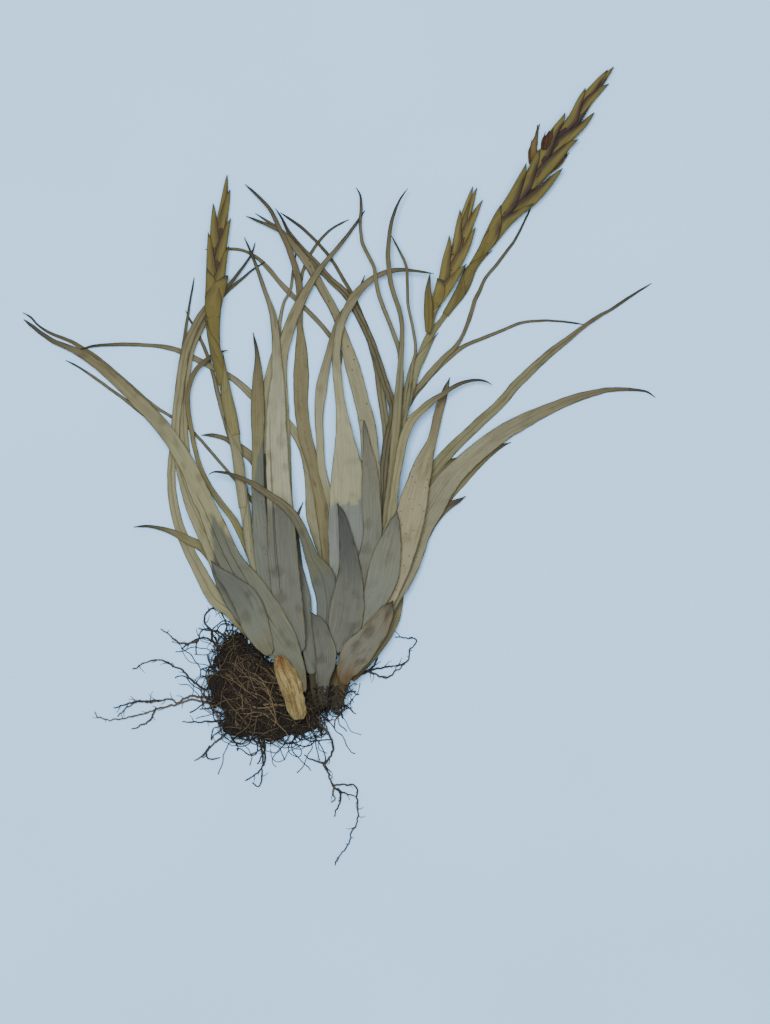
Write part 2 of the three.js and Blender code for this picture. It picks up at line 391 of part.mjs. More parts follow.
// Each stem: its course, the axis of its flower head, and the bract tips from the lowest up
const STEM_LEFT = {
  scapeName: "scape_left",
  headName: "spike_left",
  scape: [
    [-29.2, -45.0, 4.2], [-31.2, -40.8, 4.0], [-33.9, -31.0, 3.8],
    [-35.9, -19.0, 3.9], [-37.4, -9.0, 4.0], [-38.9, 4.1, 4.3], [-39.9, 10.5, 4.3],
    [-41.3, 18.2, 4.7], [-43.2, 26.7, 4.3], [-45.4, 36.3, 4.3], [-47.1, 43.5, 4.4],
    [-47.9, 50.5, 5.0], [-48.1, 56.5, 5.4], [-48.3, 61.4, 6.2],
  ],
  axis: [
    [-48.3, 61.9], [-47.6, 69.6], [-46.7, 81.2], [-45.5, 92.7], [-44.2, 102.3], [-43.4, 109.5],
  ],
  tips: [
    [-50.8, 75.8], [-42.3, 73.1], [-50.4, 90.0], [-42.2, 84.5], [-48.5, 101.2],
    [-41.5, 95.4], [-41.9, 106.5], [-43.1, 112.3],
  ],
  sections: 8,
  head: { length: 22, width: 4.8, core: 5.8, footprint: 9.5 },
};

const STEM_RIGHT = {
  scapeName: "scape_right",
  headName: "spike_main",
  scape: [
    [15.0, -22.7, 3.8], [16.5, -13.1, 3.8], [19.2, 2.3, 3.8], [22.7, 15.8, 4.2],
    [26.5, 27.3, 4.2], [29.2, 37.2, 4.1], [31.5, 42.1, 3.9], [33.4, 46.9, 3.9],
    [35.5, 51.2, 3.5], [37.9, 54.2, 2.8], [40.0, 56.9, 2.6], [43.1, 61.5, 3.2],
    [47.2, 67.6, 4.4], [49.4, 72.3, 4.3], [51.1, 76.3, 3.9], [54.0, 81.0, 3.8],
    [57.1, 85.6, 4.8],
  ],
  axis: [
    [57.4, 86.1], [63.1, 95.1], [69.6, 102.7], [74.6, 110.0], [79.2, 117.7], [83.8, 125.0],
    [90.8, 133.1], [95.4, 140.8], [101.5, 148.5], [104.5, 152.0],
  ],
  tips: [
    [62.1, 100.4], [74.8, 100.7], [71.9, 116.5], [86.2, 114.4], [76.9, 121.9], [92.2, 125.6],
    [86.9, 136.0], [98.4, 136.0], [94.8, 145.7], [104.0, 147.2], [103.4, 152.6], [105.8, 153.8],
  ],
  sections: 10,
  head: { length: 24, width: 5.8, core: 6.6, footprint: 15 },
};

const STEM_SIDE = {
  scapeName: "pedicel_lateral",
  headName: "spike_lateral",
  scape: [
    [35.0, 52.8, 2.4], [35.7, 56.6, 2.2], [36.4, 60.4, 2.8], [37.1, 62.6, 3.6],
  ],
  axis: [
    [37.4, 63.1], [40.8, 70.4], [43.5, 78.5], [45.8, 85.0], [47.7, 92.7], [49.6, 99.2],
    [51.4, 104.8],
  ],
  tips: [
    [37.7, 72.3], [49.2, 77.7], [42.3, 88.8], [52.7, 91.9], [46.5, 98.8], [55.4, 102.5],
    [51.5, 107.7], [53.1, 107.3],
  ],
  sections: 7,
  head: { length: 21, width: 5.0, core: 4.6, footprint: 12 },
};

// The keeled bract at the foot of the lateral flower head
const LATERAL_BRACT = [
  [34.2, 50.4, 2.4], [34.4, 54.2, 3.2], [34.3, 59.1, 3.6], [34.3, 63.5, 3.3], [34.2, 67.4, 2.4],
  [34.5, 70.3, 1.6], [35.0, 74.2, 0.8],
];

// Two withered flowers that stick out beside the main head
const FLOWERS = {
  dried_flower_left: [
    [76.8, 112.8, 1.8], [75.2, 116.5, 2.6], [74.4, 121.5, 3.2], [75.2, 126.2, 2.8], [76.4, 131.3, 1.2],
  ],
  dried_flower_right: [
    [77.6, 113.0, 1.8], [81.2, 113.8, 2.4], [84.0, 115.9, 3.0], [86.2, 118.1, 3.0], [87.7, 120.6, 1.4],
  ],
};

// Helpers

function seeded(seed) {
  let state = seed;
  return () => {
    state = (state + 0x6d2b79f5) | 0;
    let t = Math.imul(state ^ (state >>> 15), 1 | state);
    t = (t + Math.imul(t ^ (t >>> 7), 61 | t)) ^ t;
    return ((t ^ (t >>> 14)) >>> 0) / 4294967296;
  };
}

// A smooth curve through points of any dimension, cut into even stations.
function resample(points, count) {
  const dense = [];
  const last = points.length - 1;
  for (let i = 0; i < last; i++) {
    const p = [points[Math.max(i - 1, 0)], points[i], points[i + 1], points[Math.min(i + 2, last)]];
    for (let k = 0; k < 12; k++) {
      const t = k / 12;
      dense.push(points[i].map((_, d) => spline(p[0][d], p[1][d], p[2][d], p[3][d], t)));
    }
  }
  dense.push(points[last]);
  const run = [0];
  for (let i = 1; i < dense.length; i++) {
    run.push(run[i - 1] + Math.hypot(dense[i][0] - dense[i - 1][0], dense[i][1] - dense[i - 1][1]));
  }
  const total = run[run.length - 1];
  const out = [];
  let j = 0;
  for (let i = 0; i < count; i++) {
    const s = (total * i) / (count - 1);
    while (j < run.length - 2 && run[j + 1] < s) j++;
    const t = (s - run[j]) / Math.max(run[j + 1] - run[j], 1e-9);
    out.push(dense[j].map((v, d) => v + (dense[j + 1][d] - v) * Math.min(Math.max(t, 0), 1)));
  }
  return { points: out, length: total };
}

function spline(a, b, c, d, t) {
  return 0.5 * (2 * b + (c - a) * t + (2 * a - 5 * b + 4 * c - d) * t * t
    + (3 * b - a - 3 * c + d) * t * t * t);
}

// Sideways unit vector at every station of a course seen from above.
function sideways(points) {
  return points.map((_, i) => {
    const a = points[Math.max(i - 1, 0)];
    const b = points[Math.min(i + 1, points.length - 1)];
    const len = Math.hypot(b[0] - a[0], b[1] - a[1]) || 1;
    return [-(b[1] - a[1]) / len, (b[0] - a[0]) / len];
  });
}

// Height map of the pieces already laid

const columns = Math.ceil((MAP.x1 - MAP.x0) / MAP.step);
const rows = Math.ceil((MAP.y1 - MAP.y0) / MAP.step);
const heights = new Float32Array(columns * rows);

function cell(x, y) {
  const i = Math.floor((x - MAP.x0) / MAP.step);
  const j = Math.floor((y - MAP.y0) / MAP.step);
  return j * columns + i;
}

// Visit a fine grid of spots across one stretch of a ribbon.
function sweep(a, b, na, nb, margin, visit) {
  const len = Math.hypot(b[0] - a[0], b[1] - a[1]);
  const along = Math.max(2, Math.ceil(len / (MAP.step * 0.7)));
  for (let i = 0; i <= along; i++) {
    const t = i / along;
    const half = (a[2] + (b[2] - a[2]) * t) / 2 + margin;
    const x = a[0] + (b[0] - a[0]) * t;
    const y = a[1] + (b[1] - a[1]) * t;
    const nx = na[0] + (nb[0] - na[0]) * t;
    const ny = na[1] + (nb[1] - na[1]) * t;
    const across = Math.ceil(half / (MAP.step * 0.7));
    for (let k = -across; k <= across; k++) {
      const off = (k / across) * half;
      visit(x + nx * off, y + ny * off, t);
    }
  }
}

// Lowest underside heights a stiff strip can take over what is already there.
function drape(points, slope) {
  const side = sideways(points);
  const count = points.length;
  const need = new Array(count).fill(0);
  const run = [0];
  for (let i = 1; i < count; i++) {
    run.push(run[i - 1]
      + Math.hypot(points[i][0] - points[i - 1][0], points[i][1] - points[i - 1][1]));
  }
  for (let i = 0; i < count - 1; i++) {
    let top = 0;
    sweep(points[i], points[i + 1], side[i], side[i + 1], 0.45, (x, y) => {
      top = Math.max(top, heights[cell(x, y)]);
    });
    need[i] = Math.max(need[i], top);
    need[i + 1] = Math.max(need[i + 1], top);
  }
  return need.map((_, i) => {
    let z = 0;
    for (let j = 0; j < count; j++) {
      const rise = need[j] > 0 ? need[j] + CLEAR : 0;
      z = Math.max(z, rise - slope * Math.abs(run[i] - run[j]));
    }
    return z;
  });
}

function lay(points, tops) {
  const side = sideways(points);
  for (let i = 0; i < points.length - 1; i++) {
    sweep(points[i], points[i + 1], side[i], side[i + 1], 0.2, (x, y, t) => {
      const k = cell(x, y);
      heights[k] = Math.max(heights[k], tops[i] + (tops[i + 1] - tops[i]) * t);
    });
  }
}

// Record the height of every facet of a body that is not a plain strip.
function layMesh(geometry) {
  const at = geometry.attributes.position;
  const index = geometry.index.array;
  for (let t = 0; t < index.length; t += 3) {
    const [a, b, c] = [0, 1, 2].map((k) => {
      return [at.getX(index[t + k]), at.getY(index[t + k]), at.getZ(index[t + k])];
    });
    const reach = Math.max(
      Math.hypot(a[0] - b[0], a[1] - b[1]),
      Math.hypot(b[0] - c[0], b[1] - c[1]),
      Math.hypot(c[0] - a[0], c[1] - a[1]),
    );
    const n = Math.max(1, Math.ceil(reach / (MAP.step * 0.7)));
    for (let i = 0; i <= n; i++) {
      for (let j = 0; j <= n - i; j++) {
        const u = i / n;
        const v = j / n;
        const spot = a.map((_, d) => a[d] * (1 - u - v) + b[d] * u + c[d] * v);
        const k = cell(spot[0], spot[1]);
        heights[k] = Math.max(heights[k], spot[2]);
      }
    }
  }
}

// Closed skins

// Skin a row of equal rings; flat caps close both ends.
function skin(rings) {
  const n = rings[0].length;
  const position = rings.flat(2);
  const index = [];
  for (let i = 0; i < rings.length - 1; i++) {
    for (let k = 0; k < n; k++) {
      const a = i * n + k;
      const b = i * n + ((k + 1) % n);
      index.push(a, b, a + n, b, b + n, a + n);
    }
  }
  const end = (rings.length - 1) * n;
  for (let k = 1; k < n - 1; k++) {
    index.push(0, k + 1, k);
    index.push(end, end + k, end + k + 1);
  }
  const geometry = new THREE.BufferGeometry();
  geometry.setAttribute("position", new THREE.Float32BufferAttribute(position, 3));
  geometry.setIndex(index);
  geometry.computeVertexNormals();
  return geometry;
}

// A thin strip: edge, midrib, edge on top and the same three lines below.
function ribbon(points, under, thick, rise, flat) {
  const side = sideways(points);
  const rings = points.map((p, i) => {
    const half = p[2] / 2;
    const z = under[i];
    const t = thick[i];
    const spots = flat
      ? [[-half, t], [-half, 0], [half, 0], [half, t]]
      : [[-half, t], [-half, 0], [0, rise[i]], [half, 0], [half, t], [0, t + rise[i]]];
    return spots.map(([o, h]) => [p[0] + side[i][0] * o, p[1] + side[i][1] * o, z + h]);
  });
  return skin(rings);
}

// A stem or root: an oval section with its lowest line at the height given.
function rod(points, under, flatness, sides) {
  const side = sideways(points);
  const rings = points.map((p, i) => {
    const half = p[2] / 2;
    const tall = half * flatness;
    const ring = [];
    for (let k = 0; k < sides; k++) {
      const a = (2 * Math.PI * (k + 0.5)) / sides + Math.PI / 2;
      const o = Math.cos(a) * half;
      ring.push([p[0] + side[i][0] * o, p[1] + side[i][1] * o, under[i] + tall + Math.sin(a) * tall]);
    }
    return ring;
  });
  return skin(rings);
}

// Joining of small repeats into one body

const wasm = await Module();
wasm.setup();

function body(geometry) {
  const bare = geometry.clone();
  bare.deleteAttribute("normal");
  bare.deleteAttribute("uv");
  const merged = mergeVertices(bare, 1e-5);
  const mesh = new wasm.Mesh({
    numProp: 3,
    vertProperties: new Float32Array(merged.attributes.position.array),
    triVerts: new Uint32Array(merged.index.array),
  });
  return new wasm.Manifold(mesh);
}

function fuse(list) {
  let whole = body(list[0]);
  for (const item of list.slice(1)) whole = whole.add(body(item));
  const mesh = whole.getMesh();
  const geometry = new THREE.BufferGeometry();
  const position = new Float32Array(mesh.vertProperties);
  geometry.setAttribute("position", new THREE.BufferAttribute(position, 3));
  geometry.setIndex(outerSkin(Array.from(mesh.triVerts), position.length / 3));
  geometry.computeVertexNormals();
  return geometry;
}

// Keep the outer skin only, so that small pockets enclosed between crossing strands are solid.
function outerSkin(triangles, count) {
  const parent = Array.from({ length: count }, (_, i) => i);
  const find = (i) => {
    while (parent[i] !== i) {
      parent[i] = parent[parent[i]];
      i = parent[i];
    }
    return i;
  };
  for (let t = 0; t < triangles.length; t += 3) {
    parent[find(triangles[t])] = find(triangles[t + 1]);
    parent[find(triangles[t + 1])] = find(triangles[t + 2]);
  }
  const sizes = new Map();
  for (const v of triangles) sizes.set(find(v), (sizes.get(find(v)) || 0) + 1);
  const main = [...sizes.entries()].reduce((a, b) => (b[1] > a[1] ? b : a))[0];
  const kept = [];
  for (let t = 0; t < triangles.length; t += 3) {
    if (find(triangles[t]) === main) kept.push(triangles[t], triangles[t + 1], triangles[t + 2]);
  }
  return kept;
}

// Assembly

const group = new THREE.Group();
group.name = "tillandsia_polystachia";

const COLOURS = {
  leaf: 0x8f8566,
  sheath: 0x7d7a6d,
  stem: 0x7f7348,
  flower_head: 0x85774a,
  flower: 0x7a4a30,
  rhizome: 0xa98f5e,
  root: 0x3a2c22,
};

function add(name, kind, geometry) {
  const material = new THREE.MeshStandardMaterial({ color: COLOURS[kind], roughness: 0.85 });
  material.name = `${name}_${kind}`;
  material.side = THREE.FrontSide;
  const mesh = new THREE.Mesh(geometry, material);
  mesh.name = name;
  group.add(mesh);
}

function layLeaf(name, course) {
  const widest = Math.max(...course.map((p) => p[2]));
  const rough = resample(course, 40);
  const count = Math.min(22, Math.max(6, Math.round(rough.length / STATION) + 2));
  const points = resample(course, count).points.map((p) => [p[0], p[1], Math.max(p[2], 0.7)]);
  const under = drape(points, SAG);
  const thick = points.map((_, i) => (i < count * 0.25 ? SHEATH : BLADE));
  const rise = points.map((p) => Math.min(CROWN, p[2] * 0.06));
  const flat = widest < THREAD;
  const grey = name.includes("sheath") || name.includes("base") || name.includes("point");
  add(name, grey ? "sheath" : "leaf", ribbon(points, under, thick, rise, flat));
  lay(points, under.map((z, i) => z + thick[i] + (flat ? 0 : rise[i])));
}

function rootRod(course, under, sides, thickness) {
  const count = Math.max(4, Math.round(resample(course, 30).length / 6.5) + 1);
  const line = course.map((p) => [p[0], p[1], thickness]);
  const points = resample(line, count).points;
  points[count - 1][2] = thickness * 0.75;
  const low = under(points, count - 1);
  return rod(points, low, 1, sides);
}

// Root mat

const massCentre = [-27, -88];

function massHeight(x, y) {
  let edge = 1e9;
  let inside = false;
  const n = MASS_OUTLINE.length;
  for (let i = 0, j = n - 1; i < n; j = i++) {
    const [ax, ay] = MASS_OUTLINE[j];
    const [bx, by] = MASS_OUTLINE[i];
    if (ay > y !== by > y && x < ((bx - ax) * (y - ay)) / (by - ay) + ax) inside = !inside;
    const t = Math.min(1, Math.max(0,
      ((x - ax) * (bx - ax) + (y - ay) * (by - ay)) / ((bx - ax) ** 2 + (by - ay) ** 2)));
    edge = Math.min(edge, Math.hypot(x - ax - (bx - ax) * t, y - ay - (by - ay) * t));
  }
  if (!inside) return 0;
  const west = Math.min(1, Math.max(0, (-12 - x) / 14));
  const dome = Math.sin(Math.min(1, edge / 13) * Math.PI / 2);
  const stump = Math.min(...STUMP.map((p) => Math.hypot(x - p[0], y - p[1])));
  const hollow = Math.min(1, Math.max(0.3, (stump - 3) / 8));
  return MASS_RIM + (MASS_HEIGHT - MASS_RIM - 2) * dome * (0.35 + 0.65 * west) * hollow;
}

function massCore(draw) {
  const spokes = 30;
  const bands = 5;
  const outline = resample([...MASS_OUTLINE, MASS_OUTLINE[0]], spokes + 1).points.slice(0, spokes);
  const position = [];
  const index = [];
  position.push(massCentre[0], massCentre[1], massHeight(...massCentre));
  for (let b = 1; b <= bands; b++) {
    for (const [x, y] of outline) {
      const t = (b / bands) ** 0.8 * 0.93;
      const px = massCentre[0] + (x - massCentre[0]) * t;
      const py = massCentre[1] + (y - massCentre[1]) * t;
      const bump = b === bands ? 0 : (draw() - 0.5) * 1.6;
      position.push(px, py, Math.max(MASS_RIM * 0.8, massHeight(px, py) + bump));
    }
  }
  const rim = position.length / 3 - spokes;
  for (let k = 0; k < spokes; k++) {
    position.push(position[(rim + k) * 3], position[(rim + k) * 3 + 1], 0);
  }
  const foot = position.length / 3;
  position.push(massCentre[0], massCentre[1], 0);
  for (let k = 0; k < spokes; k++) {
    const m = (k + 1) % spokes;
    index.push(0, 1 + m, 1 + k);
    for (let b = 0; b < bands; b++) {
      const a = 1 + b * spokes;
      index.push(a + k, a + m, a + spokes + k, a + m, a + spokes + m, a + spokes + k);
    }
    index.push(foot, foot - spokes + k, foot - spokes + m);
  }
  const geometry = new THREE.BufferGeometry();
  geometry.setAttribute("position", new THREE.Float32BufferAttribute(position, 3));
  geometry.setIndex(index);
  return geometry;
}

function layRootMass() {
  const draw = seeded(71);
  const pieces = [massCore(draw)];
  let made = 0;
  while (made < MASS_STRANDS) {
    const angle = draw() * Math.PI * 2;
    const reach = Math.sqrt(draw());
    const spot = MASS_OUTLINE[Math.floor(draw() * MASS_OUTLINE.length)];
    let x = massCentre[0] + (spot[0] - massCentre[0]) * reach * 0.85;
    let y = massCentre[1] + (spot[1] - massCentre[1]) * reach * 0.85;
    let heading = angle;
    const line = [];
    const steps = 4 + Math.floor(draw() * 3);
    for (let i = 0; i < steps; i++) {
      line.push([x, y]);
      x += Math.cos(heading) * 5;
      y += Math.sin(heading) * 5;
      heading += (draw() - 0.5) * 1.3;
    }
    if (line.some(([px, py]) => massHeight(px, py) < MASS_RIM + 0.8)) continue;
    const lift = draw() * 0.9 - 0.2;
    const turn = draw() * 6;
    const strand = rootRod(line, (points, last) => points.map((p, i) => {
      const sunk = i === 0 || i === last ? 2.2 : 0;
      const wave = Math.sin((7 * i) / last + turn) * 0.5;
      return Math.max(0.05, massHeight(p[0], p[1]) + lift + wave - sunk);
    }), 3, ROOT);
    pieces.push(strand);
    made++;
  }
  for (const course of Object.values(ROOTS)) {
    const strand = rootRod(course, (points) => points.map((p) => {
      const core = massHeight(p[0], p[1]);
      return core > 0 ? Math.max(0.05, Math.min(core - 1.3, 1.2)) : 0.05;
    }), 3, ROOT * 0.95);
    pieces.push(strand);
  }
  const mass = fuse(pieces);
  add("root_mass", "root", mass);
  layMesh(mass);
}

function layRootSpray(name, courses) {
  const rest = (points) => drape(points, 0.5).map((z) => z + 0.05);
  const strands = Object.values(courses).map((course) => rootRod(course, rest, 3, ROOT * 0.95));
  const spray = fuse(strands);
  add(name, "root", spray);
  layMesh(spray);
}

// Stems and flower heads

function pointAt(line, run, s) {
  let i = 0;
  while (i < run.length - 2 && run[i + 1] < s) i++;
  const t = (s - run[i]) / (run[i + 1] - run[i]);
  return line[i].map((v, d) => v + (line[i + 1][d] - v) * t);
}

function measure(line) {
  const run = [0];
  for (let i = 1; i < line.length; i++) {
    run.push(run[i - 1] + Math.hypot(line[i][0] - line[i - 1][0], line[i][1] - line[i - 1][1]));
  }
  return run;
}

function nearest(line, run, spot) {
  let best = 1e9;
  let found = 0;
  for (let s = 0; s <= run[run.length - 1]; s += 0.5) {
    const p = pointAt(line, run, s);
    const d = Math.hypot(p[0] - spot[0], p[1] - spot[1]);
    if (d < best) {
      best = d;
      found = s;
    }
  }
  return found;
}

// One keeled bract of a flower head, from the axis out to its tip.
function bract(axis, run, heightAt, tip, head) {
  const far = nearest(axis, run, tip);
  const start = Math.max(0.5, far - head.length);
  const base = pointAt(axis, run, start);
  const belly = pointAt(axis, run, start + (far - start) * 0.5);
  const outer = pointAt(axis, run, far);
  const lean = [tip[0] - outer[0], tip[1] - outer[1]];
  const middle = [belly[0] + lean[0] * 0.62, belly[1] + lean[1] * 0.62];
  const course = [
    [base[0] + lean[0] * 0.1, base[1] + lean[1] * 0.1, head.width * 0.55],
    [middle[0], middle[1], head.width],
    [(middle[0] + tip[0]) / 2 + lean[0] * 0.12, (middle[1] + tip[1]) / 2 + lean[1] * 0.12,
      head.width * 0.72],
    [tip[0], tip[1], 0.8],
  ];
  const points = resample(course, 5).points.map((p) => [p[0], p[1], Math.max(p[2], 0.8)]);
  const lift = [0.5, 1.2, 1.7, 1.8, 1.7];
  const under = points.map((p, i) => heightAt(nearest(axis, run, p)) + lift[i]);
  const thick = [0.9, 1.0, 1.0, 0.8, 0.7];
  const rise = [0.6, 1.1, 1.1, 0.7, 0.05];
  return ribbon(points, under, thick, rise, false);
}

function layStem(stem) {
  const scape = resample(stem.scape, Math.round(resample(stem.scape, 40).length / 8) + 2).points;
  const axis = resample(stem.axis, stem.sections).points;
  const wide = [...scape, ...axis.map((p) => [p[0], p[1], stem.head.footprint])];
  const under = drape(wide, SAG * 0.7);
  const pole = rod(scape, under.slice(0, scape.length), SCAPE_FLAT, 8);
  add(stem.scapeName, "stem", pole);
  const run = measure(axis);
  const low = under.slice(scape.length);
  const heightAt = (s) => pointAt(low.map((z) => [z]), run, s)[0];
  const core = axis.map((p, i) => {
    const taper = 1 - (0.75 * i) / (axis.length - 1);
    return [p[0], p[1], Math.max(1.4, stem.head.core * taper)];
  });
  const pieces = [rod(core, low, 0.8, 6)];
  for (const tip of stem.tips) pieces.push(bract(axis, run, heightAt, tip, stem.head));
  const head = fuse(pieces);
  add(stem.headName, "flower_head", head);
  layMesh(pole);
  layMesh(head);
}

function layStump() {
  const widths = [4.4, 7.0, 8.6, 8.2, 7.6, 7.0, 5.4];
  const course = STUMP.map((p, i) => [p[0], p[1], widths[i]]);
  const points = resample(course, 7).points;
  const under = drape(points, 0.3);
  const stump = rod(points, under, 0.5, 9);
  add("rhizome_stump", "rhizome", stump);
  layMesh(stump);
}

function layFlower(name, course) {
  const points = resample(course, 5).points;
  const under = drape(points, SAG);
  const flower = rod(points, under, 0.7, 5);
  add(name, "flower", flower);
  layMesh(flower);
}

layRootMass();
layRootSpray("root_long", ROOT_LONG);
layRootSpray("root_loop", ROOT_LOOP);
for (const [name, course] of Object.entries(LOWER_LEAVES)) layLeaf(name, course);
for (const [name, course] of Object.entries(FLOWERS)) layFlower(name, course);
layStem(STEM_LEFT);
layStem(STEM_RIGHT);
layStem(STEM_SIDE);
layLeaf("bract_lateral", LATERAL_BRACT);
for (const [name, course] of Object.entries(UPPER_LEAVES)) layLeaf(name, course);
layStump();

// The middle of the plant's outline comes to the origin.
for (const mesh of group.children) mesh.geometry.translate(-CENTRE[0], -CENTRE[1], 0);

export default group;
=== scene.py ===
"""Looks of a dried, pressed air plant that lies on its back on a pale floor.

Courses are in millimetres, from base to tip, seen from above; a leaf point is (x, y, width).
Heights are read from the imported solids, so every fine piece lies where its solid lies.
"""
import math
import random

import bpy
import numpy as np
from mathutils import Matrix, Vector, noise
from mathutils.bvhtree import BVHTree


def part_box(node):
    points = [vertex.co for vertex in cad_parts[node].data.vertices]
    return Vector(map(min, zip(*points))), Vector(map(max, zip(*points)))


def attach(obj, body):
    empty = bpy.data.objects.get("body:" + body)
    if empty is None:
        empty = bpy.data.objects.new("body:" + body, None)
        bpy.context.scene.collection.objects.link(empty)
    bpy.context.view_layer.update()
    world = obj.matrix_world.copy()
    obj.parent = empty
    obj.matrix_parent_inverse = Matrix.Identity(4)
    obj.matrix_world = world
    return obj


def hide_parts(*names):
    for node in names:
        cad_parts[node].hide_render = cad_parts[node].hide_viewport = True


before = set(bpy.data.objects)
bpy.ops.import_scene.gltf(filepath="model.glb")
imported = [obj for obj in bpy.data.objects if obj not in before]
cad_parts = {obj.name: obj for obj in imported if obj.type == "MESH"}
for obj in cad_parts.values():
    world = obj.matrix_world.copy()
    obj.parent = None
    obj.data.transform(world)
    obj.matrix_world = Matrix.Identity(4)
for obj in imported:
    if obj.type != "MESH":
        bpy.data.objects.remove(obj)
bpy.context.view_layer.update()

MM = 0.001
CENTRE = (-0.0603, 0.039)  # middle of the outline in the coordinates of the courses
STATION = 12.5  # spacing of the sections along a solid leaf
PHOTO = (770, 1024)  # the view in pixels
SCALE = 2.6  # pixels to the millimetre
ORIGIN = (339, 466)  # pixel at the origin of the courses
CAMERA_HEIGHT = 1.5  # above the plant, in metres
PLANT_HEIGHT = 0.003  # where the scale holds, above the floor, in metres
SENSOR = 36.0
GAIN = 0.605  # surface colour against the colour seen in this light
RICHER = 1.3  # hue of the surface against the hue seen

DAYLIGHT = (0.93, 1.0, 1.06)
SKY = 0.39  # strength of the even light from all sides
LAMPS = {  # place in metres, width in metres, power in watts
    "key": ((-0.17, 0.25, 1.65), 0.6, 31.0),
    "fill": ((0.26, -0.13, 1.65), 1.0, 12.0),
}

LINE_STEPS = 12  # smooth steps between two points of a course
AXIS_STEPS = 200  # places along a stem where its solid is felt
UNDER_FLOOR, OVER_PLANT = -0.05, 0.1  # heights in metres from which rays feel the solids

# Courses
MASS_OUTLINE = [
    (-45.2, -63.4), (-41.6, -60.4), (-38.4, -62.2), (-36.4, -66.6), (-34.2, -69.2), (-29.6, -71.5),
    (-24.6, -74.6), (-19.8, -76.4), (-12, -70.4), (-5.2, -69.8), (0.8, -72.4), (2.6, -80),
    (2.3, -90), (-0.4, -93.8), (-3.5, -98.2), (-4.6, -102.4), (-8.1, -104.6), (-15, -105.8),
    (-20.8, -107.3), (-26.5, -109.2), (-34.2, -106.5), (-41.2, -107.3), (-48, -103.6), (-47, -99.5),
    (-47.6, -95.4), (-52.6, -91.4), (-53.2, -86.4), (-54, -80.8), (-50.2, -77.4), (-50.8, -72.4),
    (-48.6, -68.2),
]
STUMP = [
    (-22.6, -72.6), (-21.4, -77), (-19, -82), (-17.6, -86.5), (-16.6, -90.3), (-15.6, -94.5),
    (-15.2, -97),
]
STUMP_WIDTHS = (4.4, 7, 8.6, 8.2, 7.6, 7, 5.4)
ROOTS = {
    "west_upper": [
        (-47.7, -91.9), (-53.5, -90.4), (-57.3, -90), (-63.1, -91.9), (-68.8, -93.1),
        (-72.7, -94.6), (-78.5, -96.2), (-84.2, -97.3), (-89.2, -97.7), (-92.7, -96.5),
        (-94.2, -94.6),
    ],
    "west_lower": [
        (-49.6, -89.2), (-57.3, -88.8), (-61.9, -91.2), (-64.6, -89.6), (-68.8, -90.4),
        (-72.7, -90.8), (-78.5, -90.8), (-82.3, -93.5), (-85.4, -96.5),
    ],
    "west_split": [
        (-68.8, -90.4), (-70.8, -90.4), (-76.5, -90.8), (-80.4, -91.2), (-84.2, -92.3),
        (-86.9, -93.1),
    ],
    "west_branch": [(-70.4, -93.1), (-71.5, -95), (-72.7, -97.7), (-76.5, -100), (-80, -101.2)],
    "north_west": [
        (-51.5, -86.2), (-57.3, -82.3), (-59.2, -79.2), (-63.1, -77.3), (-66.9, -75.4),
        (-70.8, -74.6), (-74.6, -75.8), (-77.3, -77.3), (-79.6, -78.1),
    ],
    "north_long": [
        (-43.8, -72.7), (-47.7, -68.8), (-51.5, -66.2), (-55.4, -66.9), (-58.1, -68.8),
        (-60.8, -70.4),
    ],
    "north_fork": [(-54.2, -66.9), (-57.3, -68.1), (-61.2, -68.1), (-65, -65.4), (-68.8, -62.7)],
    "north_short": [(-42.7, -68.8), (-45, -64.6), (-48.8, -63.5), (-51.5, -63.1), (-54.2, -62.3)],
    "north_hoop": [
        (-42.7, -71.5), (-47.3, -68.8), (-48.8, -66.9), (-49.2, -63.1), (-51.2, -61.2),
        (-51.9, -58.1), (-50.4, -55.4), (-48.1, -54.2), (-45.8, -55.8), (-44.2, -59.2),
        (-43.1, -63.8), (-41.9, -68.8),
    ],
    "south_west": [(-40, -98.5), (-44.6, -97.7), (-51.5, -98.5), (-55.4, -98.5), (-60.4, -98.5)],
    "south_hook": [
        (-41.2, -100.8), (-46.9, -105.8), (-50.4, -108.8), (-52.3, -111.5), (-55.8, -113.5),
    ],
    "south_hook_branch": [(-49.6, -107.7), (-51.2, -110.4), (-50, -112.7), (-45.8, -112.3)],
    "south_tuft_a": [
        (-29.6, -103.5), (-28.5, -109.2), (-29.2, -115), (-32.3, -118.8), (-36.2, -121.2),
    ],
    "south_tuft_b": [
        (-31.2, -103.5), (-29.6, -110), (-29.6, -116.2), (-30, -120.8), (-31.2, -123.5),
        (-33.5, -121.9),
    ],
}
ROOT_LONG = {
    "main": [
        (-8.1, -98.5), (-3.8, -103.5), (-2.7, -106.2), (-2.3, -109.2), (-3.5, -112.3),
        (-5.8, -114.6), (-4.2, -117.7), (-3.5, -120.8), (-2.3, -122.7), (2.3, -122.7), (5, -122.3),
        (6.9, -123.8), (6.9, -128.5), (7.3, -134.2), (6.5, -138.1), (5, -140.8), (4.2, -143.8),
        (2.3, -147.7), (-0.4, -150.8), (-1.5, -153.8),
    ],
    "side_upper": [(-4.6, -113.5), (-5.8, -114.6), (-9.6, -113.1), (-13.5, -111.2)],
    "side_middle": [(-2.7, -122.3), (-1.9, -123.5), (0.8, -125.4), (4.2, -126.5), (6.9, -127.7)],
    "side_lower": [(-2.7, -122.3), (-1.9, -123.5), (-2.3, -126.5), (-1.5, -127.7), (-3.1, -129.6)],
    "side_long": [(-0.8, -124.2), (0.4, -125.8), (0, -129.6), (-1.2, -133.1), (-1.9, -135)],
}
